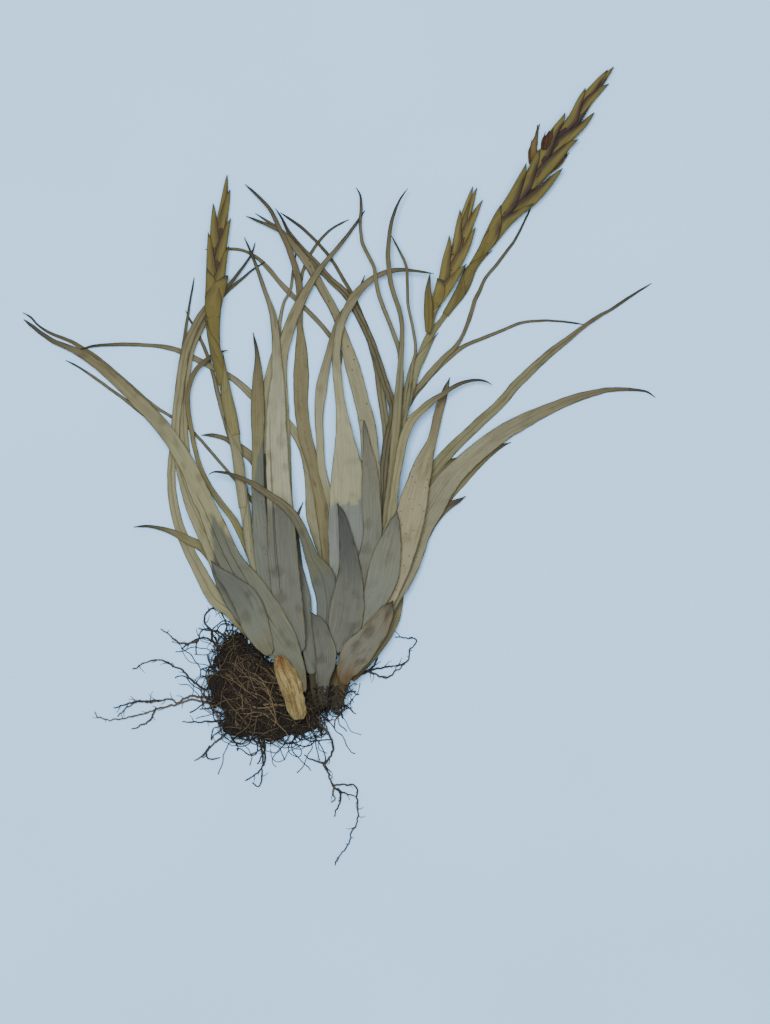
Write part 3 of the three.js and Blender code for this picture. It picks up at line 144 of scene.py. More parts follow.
ROOT_LOOP = {
    "outer": [
        (-2.5, -91), (0.5, -86.5), (2.3, -82.7), (5, -81.2), (8.8, -80), (11.9, -78.8),
        (17.7, -77.3), (23.5, -76.5), (26.9, -74.6), (26.9, -71.5), (29.2, -68.8), (30, -66.9),
        (27.3, -66.2), (21.5, -65.8),
    ],
    "inner": [
        (9.6, -80), (11.9, -79.2), (15.8, -81.2), (18.8, -81.5), (21.5, -79.2), (25.4, -76.2),
    ],
    "upper": [(10.4, -79.2), (12.7, -77.7), (14.6, -74.6), (14.2, -70.8)],
}
LOWER_LEAVES = {
    "right_old_base_outer": [
        (-1.3, -94.8, 7.2), (-1.4, -88.5, 7.4), (0.3, -81.9, 8.2), (3.2, -76.5, 6.6),
        (5.8, -71.5, 2.5),
    ],
    "right_old_base_inner": [
        (-6.9, -94.2, 4.5), (-7.3, -88.5, 6.2), (-7.9, -81.5, 7), (-8.5, -75.4, 6), (-9, -70, 2.5),
    ],
    "leaf_right_long_arch": [
        (-0.4, 37, 1.9), (0.4, 42.7, 1.9), (-1.5, 47.3, 1.9), (-5.8, 53.1, 1.9), (-10.4, 58.1, 1.9),
        (-15, 62.7, 1.9), (-19.6, 67.3, 2.3), (-23.5, 71.5, 1.9), (-27.3, 76.2, 1.9),
        (-31.2, 80, 1.5), (-34.2, 81.9, 1.2), (-38.1, 83.3, 1.2), (-42.3, 83.7, 1.2),
        (-51.5, 83.5, 0.7),
    ],
    "leaf_left_thread_sickle": [
        (-24.2, -32.3, 2.3), (-29.6, -18.8, 2.3), (-36.2, -10, 1.5), (-42.3, -2.7, 1.2),
        (-49.6, 5.8, 1.2), (-54.6, 11.5, 1.2), (-58.8, 15.4, 1.2), (-65, 19.2, 1.2),
        (-72.7, 24.2, 1.5), (-80.4, 30.8, 1.9), (-91.9, 40.4, 2.3), (-97.7, 44.6, 1.9),
        (-103.5, 48.1, 1.5), (-111.2, 51.2, 1.2), (-115.8, 54.2, 0.8), (-118.8, 57.3, 0.8),
        (-121.9, 59.2, 0.7),
    ],
    "leaf_left_stray_thread": [
        (-48.8, -16.2, 2.7), (-55.4, -3.5, 2.3), (-63.1, 8.1, 1.9), (-70.8, 16.2, 1.5),
        (-77.3, 21.5, 1.5), (-82.3, 25.4, 1.3), (-88.1, 29.6, 1.2), (-93.8, 33.8, 1.2),
        (-99.6, 37.7, 0.8), (-105.4, 40.8, 0.7),
    ],
    "leaf_left_crossing_thread": [
        (-37.7, -3.8, 2.3), (-38.1, -1.5, 2.3), (-43.5, 15.8, 1.9), (-46.5, 26.9, 1.9),
        (-48.5, 35, 1.5), (-50.8, 42.7, 1.5), (-54.6, 51.5, 1.2), (-57.3, 56.2, 0.8),
        (-59.2, 60, 0.7),
    ],
    "leaf_left_thin_arc": [
        (-21, -5.4, 2.3), (-21.5, 6.2, 2.3), (-22.3, 25.4, 1.9), (-21.9, 36.9, 1.7),
        (-20.4, 46.5, 1.7), (-18.5, 54.2, 1.5), (-16.2, 62.7, 1.5), (-15, 69.6, 1.3),
        (-13.8, 75.4, 1.3), (-11.9, 80, 1.2), (-9.2, 84.6, 1.2), (-5.4, 89.2, 1), (-1.5, 92.3, 0.8),
        (3.8, 95, 0.7),
    ],
    "leaf_right_fine_lower": [
        (10.4, -59.2, 2.3), (19.6, -13.1, 2.3), (23.1, 13.8, 1.9), (25.8, 21.5, 1.9),
        (28.8, 26.9, 1.9), (31.9, 30.8, 1.9), (35, 34.6, 1.9), (38.8, 38.5, 1.9), (43.5, 42.7, 1.7),
        (46.9, 45.4, 1.7), (50.4, 47.3, 1.5), (54.2, 48.8, 1.5), (61.9, 51.9, 1.3), (69.6, 55, 1.2),
        (77.3, 56, 1), (85, 55.8, 0.8), (94.2, 54.6, 0.7),
    ],
    "leaf_right_fine_upper": [
        (8.8, -59.2, 2.3), (18.1, -16.9, 2.3), (19.6, -5.4, 2.3), (21.5, 4.2, 2.3),
        (23.5, 13.8, 2.3), (25.4, 21.5, 2.3), (28.5, 28.1, 2.3), (31.5, 31.3, 2.3),
        (34.8, 35.2, 2.7), (38.3, 39.4, 2.3), (41.9, 43.3, 1.9), (44.4, 45.4, 1.9), (46.9, 49, 1.5),
        (48.8, 53.1, 1.5), (50.6, 58.1, 1.7), (52.3, 63.8, 1.7), (54.2, 67.7, 1.5),
        (56.3, 72.3, 1.3), (60.4, 77.3, 1.3), (64.2, 82.3, 1.2), (68.1, 87.7, 1), (71.9, 95.4, 0.8),
        (74.2, 100, 0.7),
    ],
    "leaf_right_far_arch": [
        (-3.1, -43.8, 5.4), (-5, -34.2, 6.2), (-8.8, -18.8, 7.7), (-10.6, -5.4, 5.4),
        (-13.5, 6.2, 3.8), (-18.8, 15.4, 3.1), (-26.2, 22.3, 3.1), (-33.1, 26.9, 3.1),
        (-37.7, 31.2, 2.7), (-42.7, 35, 2.3), (-49.6, 38.5, 2.3), (-53.5, 40.4, 2.3),
        (-61.2, 44.2, 2.1), (-66.9, 45.8, 1.9), (-72.7, 46.5, 1.5), (-82.3, 46.9, 1.5),
        (-91.9, 46.5, 1.2), (-95.8, 46, 1), (-99.6, 45, 0.7),
    ],
    "leaf_left_short_cross": [
        (-24.6, -16.2, 4.2), (-28.5, -4.2, 4.2), (-33.1, 2.7, 3.8), (-38.1, 6.9, 3.5),
        (-43.5, 10.4, 1.9), (-48.8, 11.9, 1.5), (-53.1, 11.9, 0.7),
    ],
    "leaf_right_under_tongue": [
        (28.5, -34.6, 5.4), (38.8, -15, 5.4), (50.4, -2.3, 3.8), (56.5, 3.1, 2.3), (61.9, 7.3, 1.5),
        (66.2, 9.2, 0.7),
    ],
    "leaf_right_outer_short": [
        (4.2, -82.3, 3.8), (13.8, -70.8, 4.6), (19.6, -61.2, 5.4), (22.3, -53.5, 4.6),
        (23.1, -43.8, 3.8), (27.3, -36.2, 3.1), (31.2, -29.6, 3.1), (35, -23.8, 3.1),
        (38.8, -18.5, 3.1), (42.7, -15, 2.7), (45.8, -13.5, 1.9), (48.8, -11.5, 0.7),
    ],
    "leaf_right_upper_lance": [
        (24.2, -31.5, 5), (28.8, -16.9, 5), (31.9, -9.2, 5), (35.4, -3.5, 5), (38.8, 1.2, 5),
        (42.7, 5.8, 4.6), (48.5, 11.5, 4.2), (54.2, 16.9, 4.2), (60, 22.1, 3.8), (64.2, 26.5, 3.8),
        (67.7, 30.8, 3.8), (73.5, 36.5, 3.5), (77.3, 40, 3.3), (81.2, 43.5, 3.1), (85, 46.5, 2.7),
        (88.8, 49.4, 2.3), (94.6, 54, 1.7), (100.4, 57.9, 1.5), (104.2, 60, 1.2), (110, 63.8, 1.2),
        (115.8, 67.7, 0.8), (120.4, 70.4, 0.7),
    ],
    "leaf_left_outer_blade": [
        (-34.2, -64.6, 4.6), (-41.2, -56.2, 5.4), (-47.7, -50.8, 5.8), (-53.5, -40.8, 5),
        (-58.8, -30.4, 4.2), (-62.3, -20.8, 3.8), (-64.2, -11.2, 3.5), (-64.6, -1.5, 3.1),
        (-63.8, 8.1, 2.7), (-63.1, 17.7, 2.3), (-61.9, 27.3, 2.3), (-61.2, 36.9, 1.9),
        (-60, 45.4, 1.5), (-58.8, 54.2, 1.2), (-57.3, 63.8, 0.8), (-55.8, 72.7, 0.7),
    ],
    "leaf_left_short_curl": [
        (-38.1, -51.5, 5.4), (-40, -48.5, 5.4), (-46.5, -38.5, 4.6), (-52.3, -31.5, 3.8),
        (-58.1, -28.5, 3.5), (-64.2, -25.4, 2.3), (-69.6, -23.8, 1.5), (-74.6, -23.1, 1),
        (-79.2, -23.5, 0.7),
    ],
    "leaf_left_bundle_back": [
        (-33.5, -48.5, 7.7), (-36.2, -43.8, 9.2), (-45, -30.4, 6.9), (-51.2, -18.8, 5),
        (-55.8, -8.5, 4.2), (-58.5, 1.5, 3.8), (-59.6, 10, 3.5), (-59.8, 17.7, 3.1),
        (-59.6, 25.4, 3.1), (-58.8, 35, 3.1), (-57.3, 43.8, 3.1), (-54.6, 50.4, 2.7),
        (-51.2, 56.9, 2.3), (-47.3, 62.7, 1.9), (-42.7, 67.7, 1.5), (-38.1, 71.5, 1.2),
        (-33.5, 75.4, 0.8), (-28.5, 78.8, 0.7),
    ],
    "leaf_left_bundle_front": [
        (-15.8, -79.2, 4.6), (-29.6, -62.3, 11.5), (-39.6, -48.5, 11.5), (-46.5, -34.2, 8.5),
        (-52.3, -23.8, 6.5), (-56.9, -14.2, 5), (-59.4, -7.3, 3.8), (-61.2, -0.8, 3.1),
        (-62.7, 7.3, 3.1), (-62.7, 17.7, 3.5), (-61.5, 27.3, 3.5), (-60.4, 36.9, 3.5),
        (-58.5, 45.8, 3.5), (-55.4, 53.5, 3.1), (-51.5, 60, 2.7), (-47.3, 64.6, 1.9),
        (-42.7, 69.2, 1.5), (-38.1, 75, 1.2), (-33.8, 81.5, 0.8), (-32.3, 86.2, 0.7),
    ],
    "leaf_left_hook_blade": [
        (-30.4, -41.2, 3.8), (-34.2, -33.5, 3.1), (-40, -21.5, 2.7), (-46.3, -13.1, 2.3),
        (-51.5, -4.6, 1.9), (-54.8, 4.2, 1.9), (-56.7, 13.8, 1.9), (-58.1, 23.5, 1.9),
        (-57.7, 30, 1.9), (-55.4, 36.2, 1.9), (-52.3, 39.6, 1.9), (-48.8, 42.3, 1.5),
        (-45.8, 43.8, 1.2), (-42.7, 44.6, 0.7),
    ],
    "leaf_left_edge_spur": [
        (-14.6, -43.8, 2.7), (-15.4, -36.2, 2.3), (-16.5, -24.6, 1.5), (-16.2, -20, 1.2),
        (-13.8, -13.8, 0.7),
    ],
    "leaf_left_dark_strip": [
        (-25.4, -45.8, 4.6), (-25.8, -43.8, 4.6), (-28.1, -24.6, 3.5), (-29.2, -5.4, 2.7),
        (-29.2, 10, 1.9), (-28.5, 17.7, 1.2),
    ],
    "leaf_left_curved_thread": [
        (-28.1, 4.2, 3.5), (-28.1, 6.2, 3.8), (-28.5, 21.5, 3.5), (-27.7, 31.2, 3.1),
        (-25.8, 40, 2.7), (-23.5, 48.5, 1.9), (-22.7, 56.2, 1.5), (-21.2, 63.1, 1.2),
        (-18.8, 67.7, 1.2), (-17.7, 75.4, 1), (-16.5, 83.1, 0.7),
    ],
}
UPPER_LEAVES = {
    "leaf_right_split_tip": [
        (3.1, 41.9, 2.3), (1.9, 46.5, 2.3), (-1.9, 58.1, 1.9), (-6.9, 67.3, 1.9),
        (-12.3, 76.9, 1.9), (-16.9, 84.4, 1.9), (-21.2, 89.6, 1.5), (-25.8, 93.1, 1.2),
        (-29.2, 95.4, 0.8), (-32.3, 97.3, 0.7),
    ],
    "leaf_right_under_fold": [
        (14.6, -30.4, 3.1), (15, -28.5, 3.1), (16.9, -1.5, 2.7), (18.1, 10, 2.7), (17.7, 17.7, 3.1),
        (16.2, 27.3, 3.1), (14.6, 38.8, 3.1), (11.9, 48.5, 2.7), (8.8, 56.9, 2.3), (5.8, 65, 1.5),
        (2.3, 70.8, 1.5), (-2.7, 79.2, 1.3), (-8.1, 85.8, 1.2), (-15, 92.3, 1.2),
        (-22.7, 97.7, 0.7),
    ],
    "leaf_right_dark_fold": [
        (14.2, -34.6, 3.5), (15.8, -28.5, 3.5), (16.9, -13.1, 3.1), (17.3, -1.5, 3.1),
        (18.8, 10, 3.1), (20.8, 19.6, 3.1), (20, 25.4, 3.1), (17.3, 33.1, 3.1), (14.2, 42.7, 3.1),
        (10.4, 52.3, 3.1), (6.2, 60.8, 3.1), (2.3, 66.5, 3.1), (-3.5, 71.9, 2.7), (-9.2, 78.1, 2.7),
        (-15, 84.2, 2.3), (-19.6, 90.4, 1.5), (-22.3, 95.8, 0.8), (-24.6, 99.2, 0.7),
    ],
    "leaf_right_spotted_blade": [
        (8.5, -52.7, 6.5), (10.4, -43.8, 6.9), (12.7, -28.5, 6.9), (12.3, -5.4, 7.3),
        (11.2, 13.8, 6.5), (8.1, 27.3, 5.8), (5, 38.8, 5.8), (2.3, 48.5, 3.8), (-1.5, 59.2, 3.1),
        (-6.5, 68.5, 3.1), (-11.9, 77.7, 3.1), (-16.9, 84.2, 2.7), (-21.5, 89.6, 1.9),
        (-26.5, 92.3, 1.5), (-35.8, 96.2, 0.7),
    ],
    "leaf_right_brown_blade": [
        (-2.3, -51.5, 6.5), (-3.5, -36.2, 6.2), (-6.5, -15, 5.4), (-10, 0.4, 4.6),
        (-13.1, 11.9, 5.4), (-14.6, 23.5, 5.4), (-14.6, 33.1, 6.2), (-14.6, 44.6, 4.6),
        (-15, 54.2, 2.3), (-15, 63.8, 2.7), (-15.8, 72.3, 2.7), (-18.8, 82.3, 2.3),
        (-22.7, 90.8, 1.9), (-26.5, 98.5, 1.5), (-31.2, 103.8, 1.2), (-36.2, 108.5, 0.7),
    ],
    "leaf_left_centre_short": [
        (-24.3, -53.5, 7), (-26.5, -43.8, 8.5), (-28.8, -32.3, 7.7), (-30.8, -13.1, 5.4),
        (-31.2, 6.2, 4.6), (-31.2, 17.7, 5.4), (-31.2, 27.3, 5), (-31.2, 35, 3.8),
        (-31.5, 42.7, 1.9), (-33.1, 51.5, 0.7),
    ],
    "leaf_left_inner_upper": [
        (-10.4, -80.4, 3.5), (-11.5, -70.8, 5), (-13.5, -59.2, 6.5), (-14.4, -50.4, 7),
        (-17, -41, 7), (-19, -34.2, 6.9), (-20.4, -13.1, 5.4), (-20.8, 6.2, 4.6),
        (-21.5, 21.5, 4.6), (-22.3, 33.1, 4.6), (-21.9, 42.7, 4.6), (-20, 50.4, 4.6),
        (-17.7, 56.9, 4.2), (-15, 62.7, 3.8), (-11.9, 68.5, 3.1), (-8.1, 74.6, 2.3),
        (-3.5, 80.4, 1.9), (1.5, 86.5, 1.5), (5.8, 92.3, 1.2), (10, 98.5, 0.7),
    ],
    "leaf_left_broad_blade": [
        (-16.5, -72.7, 9.2), (-19.6, -51.5, 11.5), (-21.5, -32.3, 11.5), (-22.7, -13.1, 9.8),
        (-23.6, 2.3, 8.6), (-24, 15.4, 8.1), (-23.8, 26.5, 6.6), (-23.6, 35, 4.8), (-23.9, 42, 3.9),
        (-24.2, 48.7, 3.3), (-25.4, 58.1, 2.7), (-27.7, 65, 1.9), (-30.4, 72.7, 1.5),
        (-32.7, 79.2, 1.2), (-34.6, 83.8, 0.8), (-36.5, 88.1, 0.7),
    ],
    "leaf_left_sickle": [
        (-13.1, -87, 2.4), (-14.4, -82.3, 4.6), (-16.9, -76.5, 8), (-23.3, -66.2, 14.2),
        (-32.3, -51.9, 15.2), (-41.4, -36.4, 9.6), (-46.5, -25.4, 8.5), (-49.8, -17.7, 7.5),
        (-53.5, -10.2, 7.3), (-57.3, -1.5, 6.5), (-61.2, 5.4, 6.2), (-65.6, 12.1, 5.8),
        (-71.2, 18.8, 5.6), (-81.2, 28.7, 4.6), (-92.3, 38.5, 3.8), (-101.5, 44.4, 2.7),
        (-111.2, 48.8, 1.9), (-121.5, 56.5, 1.2),
    ],
    "leaf_left_front_sheath": [
        (-25.8, -72.7, 5), (-31.2, -62.3, 10), (-34.6, -52.7, 11), (-40.8, -45, 7),
        (-45.4, -40.8, 4), (-48.8, -36.2, 0.7),
    ],
    "leaf_right_pale_blade": [
        (-1.5, -36.9, 5), (-1.5, -28.5, 4.6), (-3.1, -15, 3.1), (-6.5, -1.5, 3.1), (-7.3, 10, 3.1),
        (-7.7, 19.6, 3.5), (-6.9, 29.2, 4.6), (-5.4, 36.9, 3.5), (-3.1, 46.5, 2.7),
        (-0.4, 55.4, 2.3), (2.7, 60.8, 1.9), (6.5, 65.4, 1.2), (10, 73.5, 0.7),
    ],
    "leaf_right_front_blade": [
        (2.3, -70.8, 7.7), (3.5, -43.8, 13.8), (3.1, -20.8, 14.6), (3.1, -1.5, 11.5),
        (1.9, 13.8, 6.2), (0.4, 25.4, 3.8), (-0.8, 36.9, 3.5), (-0.8, 46.5, 3.1), (1.2, 55.4, 3.1),
        (5, 63.5, 3.5), (10, 69.6, 2.7), (15.8, 73.5, 2.1), (21.5, 75, 1.9), (27.3, 75, 1.3),
        (36.5, 73.7, 0.7),
    ],
    "leaf_right_thin_a": [
        (19.2, -3.1, 2.3), (20.4, 2.3, 2.3), (23.5, 25.4, 2.3), (23.5, 41.9, 1.9),
        (20.8, 51.2, 1.7), (16.9, 61.2, 1.7), (15, 66.9, 1.7), (14.2, 71.5, 1.7), (13.5, 76.2, 1.5),
        (11.5, 80.4, 1.5), (9.2, 85, 1.5), (8.5, 88.8, 1.3), (8.1, 93.8, 1.2), (8.5, 99.2, 1.2),
        (8.1, 104.2, 0.8), (6.5, 107.3, 0.7),
    ],
    "leaf_right_thin_c": [
        (24.6, 13.8, 1.7), (26.5, 25.4, 1.5), (28.5, 40, 1.2), (29.2, 42.3, 1.2), (29.4, 46.5, 1.2),
        (28.8, 50.4, 1.2), (27.7, 56.2, 1.2), (26.5, 61.9, 1.2), (26.3, 67.7, 1.2),
        (26.2, 73.5, 1.2), (25.4, 77.7, 1.2), (23.8, 81.2, 1), (21.9, 85, 0.8), (20, 88.5, 0.7),
    ],
    "leaf_right_thin_b": [
        (17.2, -27, 2.4), (18.4, -17, 2.8), (20, -5.4, 3.1), (20.8, 2.3, 3.1), (22.7, 25.4, 3.1),
        (23.5, 36.9, 2.5), (24.2, 48.5, 1.9), (24.2, 54.2, 1.9), (23.1, 60, 1.9), (21.5, 64.6, 1.9),
        (20, 69.6, 1.9), (19.2, 75.4, 1.9), (18.8, 81.2, 1.9), (19.2, 86.9, 1.7), (20, 92.7, 1.5),
        (21.5, 97.7, 1.2), (23.5, 102.3, 0.8), (26.5, 106.5, 0.7),
    ],
    "leaf_right_dark_tongue": [
        (29.6, -17.7, 4.2), (33.1, -11.2, 3.8), (39.2, -3.1, 2.3), (42.7, 1.5, 1.5),
        (47.3, 3.8, 0.7),
    ],
    "leaf_right_lower_lance": [
        (10, -66.9, 7.7), (17.7, -51.5, 10.8), (25.4, -38.1, 10.8), (28.1, -30.4, 10.8),
        (31.2, -22.7, 10.4), (35, -16.9, 10), (38.8, -10.4, 9.2), (42.7, -4.8, 8.5), (47.3, 0, 7.7),
        (52.3, 4.6, 7.3), (58.1, 9.2, 6.9), (63.8, 13.3, 6.5), (69.6, 16.5, 6), (77.3, 20.4, 5),
        (85, 23.8, 4), (92.7, 26.7, 3.3), (100.4, 28.7, 2.3), (104.2, 29.4, 1.9), (110, 29.6, 1.5),
        (115.8, 29.2, 1), (118.8, 28.5, 0.8), (121.9, 26.5, 0.7),
    ],
    "leaf_right_pointed_blade": [
        (13.8, -59.2, 7.7), (21.5, -40, 10.8), (26.5, -22.7, 11.5), (29.2, -11.2, 10),
        (32.3, 0.4, 7.3), (35.8, 10, 3.8), (38.1, 19.6, 3.5), (40, 26.2, 3.1), (42.7, 34.2, 0.7),
    ],
    "leaf_right_small_arc": [
        (16.2, -30.8, 2.6), (18.6, -24.2, 2.9), (20.2, -18.8, 3.1), (21.9, -5.4, 3.1),
        (23.1, 2.3, 3.5), (24.2, 8.1, 3.5), (25.8, 13.1, 3.5), (28.1, 17.7, 3.5), (31.2, 20.8, 3.1),
        (34.2, 23.5, 3.1), (37.7, 26.2, 2.3), (40.8, 28.1, 1.9), (43.5, 30, 1.7), (47.3, 31.9, 1.5),
        (51.2, 32.9, 1.2), (54.2, 32.9, 1), (56.9, 32.3, 0.8), (58.8, 31.2, 0.7),
    ],
    "leaf_right_grey_sheath": [
        (7.7, -53.8, 9.2), (8.1, -51.5, 10), (12.7, -28.5, 7.7), (12.3, -13.1, 7.3),
        (11.9, -1.5, 6.2), (10.8, 8.1, 3.1), (9.6, 17.7, 1.2),
    ],
    "leaf_right_side_point": [
        (2.3, -71.5, 3.8), (6.2, -65, 5.4), (11.9, -55.4, 7.7), (15.8, -45.8, 11.5),
        (18.1, -36.2, 11.5), (20.4, -26.5, 6.9), (22.3, -17.3, 1.2),
    ],
    "leaf_right_left_arch": [
        (-6.5, -86.2, 4.6), (-6.4, -75, 5.5), (-6, -66, 6.5), (-4.8, -58, 7.5), (-4.6, -51.6, 8.2),
        (-6, -43.4, 9.4), (-8.2, -38.8, 7.4), (-10.3, -35.2, 5.2), (-12.5, -28.5, 4.2),
        (-15.2, -22.3, 3.8), (-18.5, -17.5, 3.5), (-22.7, -13.8, 3.1), (-27.3, -10.6, 2.7),
        (-31.2, -7.9, 2.3), (-35.4, -5.6, 1.9), (-39.6, -3.8, 1.5), (-43.5, -2.7, 1.2),
        (-47.7, -2.3, 0.8), (-50, -3.5, 0.7),
    ],
    "leaf_right_centre_point": [
        (-0.4, -72, 2), (1.2, -65.2, 9.2), (2.3, -60.2, 13.6), (3.5, -51.5, 12.8),
        (4.2, -43.1, 9.6), (3.9, -35, 7.3), (2.6, -26.5, 5), (1, -18.3, 2.7), (-0.7, -14.4, 0.7),
    ],
    "leaf_right_old_sheath": [
        (2.3, -84.2, 4.6), (2.9, -79.1, 8), (6.7, -71.9, 11.6), (11.2, -66.7, 10),
        (15.2, -61.4, 8.4), (18.6, -55.4, 5.4), (20.8, -51.5, 0.8),
    ],
    "between_bract": [
        (-6.2, -92, 3.2), (-5.8, -82.3, 4.8), (-5, -76.5, 7), (-4.8, -71.5, 8), (-6, -66.2, 7.3),
        (-7.9, -60, 5), (-10.8, -55.8, 0.8),
    ],
}
STEM_LEFT = {
    "scape_name": "scape_left", "head_name": "spike_left",
    "scape": [
        (-29.2, -45, 4.2), (-31.2, -40.8, 4), (-33.9, -31, 3.8), (-35.9, -19, 3.9), (-37.4, -9, 4),
        (-38.9, 4.1, 4.3), (-39.9, 10.5, 4.3), (-41.3, 18.2, 4.7), (-43.2, 26.7, 4.3),
        (-45.4, 36.3, 4.3), (-47.1, 43.5, 4.4), (-47.9, 50.5, 5), (-48.1, 56.5, 5.4),
        (-48.3, 61.4, 6.2),
    ],
    "axis": [
        (-48.3, 61.9), (-47.6, 69.6), (-46.7, 81.2), (-45.5, 92.7), (-44.2, 102.3), (-43.4, 109.5),
    ],
    "tips": [
        (-50.8, 75.8), (-42.3, 73.1), (-50.4, 90), (-42.2, 84.5), (-48.5, 101.2), (-41.5, 95.4),
        (-41.9, 106.5), (-43.1, 112.3),
    ],
    "length": 28, "wide": 4.8, "tall": 4.2, "plum": 0.6,
    "petals": [],
}
STEM_RIGHT = {
    "scape_name": "scape_right", "head_name": "spike_main",
    "scape": [
        (15, -22.7, 3.8), (16.5, -13.1, 3.8), (19.2, 2.3, 3.8), (22.7, 15.8, 4.2),
        (26.5, 27.3, 4.2), (29.2, 37.2, 4.1), (31.5, 42.1, 3.9), (33.4, 46.9, 3.9),
        (35.5, 51.2, 3.5), (37.9, 54.2, 2.8), (40, 56.9, 2.6), (43.1, 61.5, 3.2), (47.2, 67.6, 4.4),
        (49.4, 72.3, 4.3), (51.1, 76.3, 3.9), (54, 81, 3.8), (57.1, 85.6, 4.8),
    ],
    "axis": [
        (57.4, 86.1), (63.1, 95.1), (69.6, 102.7), (74.6, 110), (79.2, 117.7), (83.8, 125),
        (90.8, 133.1), (95.4, 140.8), (101.5, 148.5), (104.5, 152),
    ],
    "tips": [
        (62.1, 100.4), (74.8, 100.7), (71.9, 116.5), (86.2, 114.4), (76.9, 121.9), (92.2, 125.6),
        (86.9, 136), (98.4, 136), (94.8, 145.7), (104, 147.2), (103.4, 152.6), (105.8, 153.8),
    ],
    "length": 27, "wide": 5.6, "tall": 4.6, "plum": 1,
    "petals": [
        ([(79.0, 121.4), (80.4, 125.4), (82.6, 129.9)], 2.6),
        ([(78.6, 121.2), (79.4, 125.0), (81.0, 129.0)], 2.0),
        ([(77.6, 121.6), (78.4, 125.2), (79.3, 128.6)], 1.2),
    ],
}
STEM_SIDE = {
    "scape_name": "pedicel_lateral", "head_name": "spike_lateral",
    "scape": [(35, 52.8, 2.4), (35.7, 56.6, 2.2), (36.4, 60.4, 2.8), (37.1, 62.6, 3.6)],
    "axis": [
        (37.4, 63.1), (40.8, 70.4), (43.5, 78.5), (45.8, 85), (47.7, 92.7), (49.6, 99.2),
        (51.4, 104.8),
    ],
    "tips": [
        (37.7, 72.3), (49.2, 77.7), (42.3, 88.8), (52.7, 91.9), (46.5, 98.8), (55.4, 102.5),
        (51.5, 107.7), (53.1, 107.3),
    ],
    "length": 24, "wide": 5, "tall": 3.9, "plum": 0.7,
    "petals": [],
}
LATERAL_BRACT = [
    (34.2, 50.4, 2.4), (34.4, 54.2, 3.2), (34.3, 59.1, 3.6), (34.3, 63.5, 3.3), (34.2, 67.4, 2.4),
    (34.5, 70.3, 1.6), (35, 74.2, 0.8),
]
FLOWERS = {
    "dried_flower_left": [
        (76.8, 112.8, 1.8), (75.2, 116.5, 2.6), (74.4, 121.5, 3.2), (75.2, 126.2, 2.8),
        (76.4, 131.3, 1.2),
    ],
    "dried_flower_right": [
        (77.6, 113, 1.8), (81.2, 113.8, 2.4), (84, 115.9, 3), (86.2, 118.1, 3), (87.7, 120.6, 1.4),
    ],
}


# Curves and noise


def spline(a, b, c, d, t):
    """Smooth curve from b to c that keeps the direction of its neighbours a and d."""
    square, cube = 2 * a - 5 * b + 4 * c - d, 3 * b - a - 3 * c + d
    return 0.5 * (2 * b + (c - a) * t + square * t**2 + cube * t**3)


def trace(points):
    """Dense smooth line through the points, with the run along it."""
    p = np.array(points, float)
    rows = []
    for i in range(len(p) - 1):
        a, d = p[max(i - 1, 0)], p[min(i + 2, len(p) - 1)]
        rows += [spline(a, p[i], p[i + 1], d, k / LINE_STEPS) for k in range(LINE_STEPS)]
    rows.append(p[-1])
    rows = np.array(rows)
    return rows, run_along(rows)


def run_along(p):
    """Distance from the first point to every point of a line, seen from above."""
    return np.concatenate([[0], np.cumsum(np.hypot(*np.diff(p[:, :2], axis=0).T))])


def length_of(points):
    return trace(points)[1][-1]


def stations(points, count):
    """The line cut into even stations, and its length."""
    rows, run = trace(points)
    at = np.linspace(0, run[-1], count)
    return np.stack([np.interp(at, run, rows[:, d]) for d in range(rows.shape[1])], 1), run[-1]


def sideways(p):
    """Unit vector to the left of the line at every station."""
    t = np.gradient(p[:, :2], axis=0)
    t /= np.maximum(np.linalg.norm(t, axis=1, keepdims=True), 1e-9)
    return np.stack([-t[:, 1], t[:, 0]], 1)


def nearest(p, spot):
    """Number of the station nearest to a spot."""
    return int(np.argmin(np.hypot(*(p[:, :2] - np.array(spot)).T)))


def wander(x, seed, scale):
    """Smooth noise between -1 and 1 along a line."""
    return np.array([noise.noise(Vector((v / scale, seed * 7.31, seed * 1.7))) for v in x])


def patches(s, across, along, over, seed):
    """Smooth noise at runs s and places across, stretched by along and squeezed by over."""
    return np.array([[noise.noise(Vector((a / along, b * over, seed))) for b in across] for a in s])


def ease(x, low, high):
    t = np.clip((np.asarray(x, float) - low) / (high - low), 0, 1)
    return t * t * (3 - 2 * t)


def shade(a, b, f):
    """Mix of two colours by a number or an array of numbers."""
    f = np.asarray(f, float)[..., None]
    return np.asarray(a, float) * (1 - f) + np.asarray(b, float) * f


def rgb(r, g, b):
    """Linear surface colour that looks like an 8-bit colour under this light."""
    c = np.array([((v / 255 + 0.055) / 1.055) ** 2.4 for v in (r, g, b)])
    grey = c @ np.array([0.2126, 0.7152, 0.0722])
    return GAIN * grey * (c / grey) ** RICHER


# Looks; colours are 8-bit ones as they appear on the dry plant

STRANDS = 640  # roots in the mat
PALE_STRANDS = 42  # of which pale ones on top
FOOT_FIBRES = 120  # torn roots at the feet of the old leaf bases
LOOSE_SHARE = 0.62  # share of the strands that end outside the mat and are left out
MAT_HEIGHT = 9.4  # height of the root mat

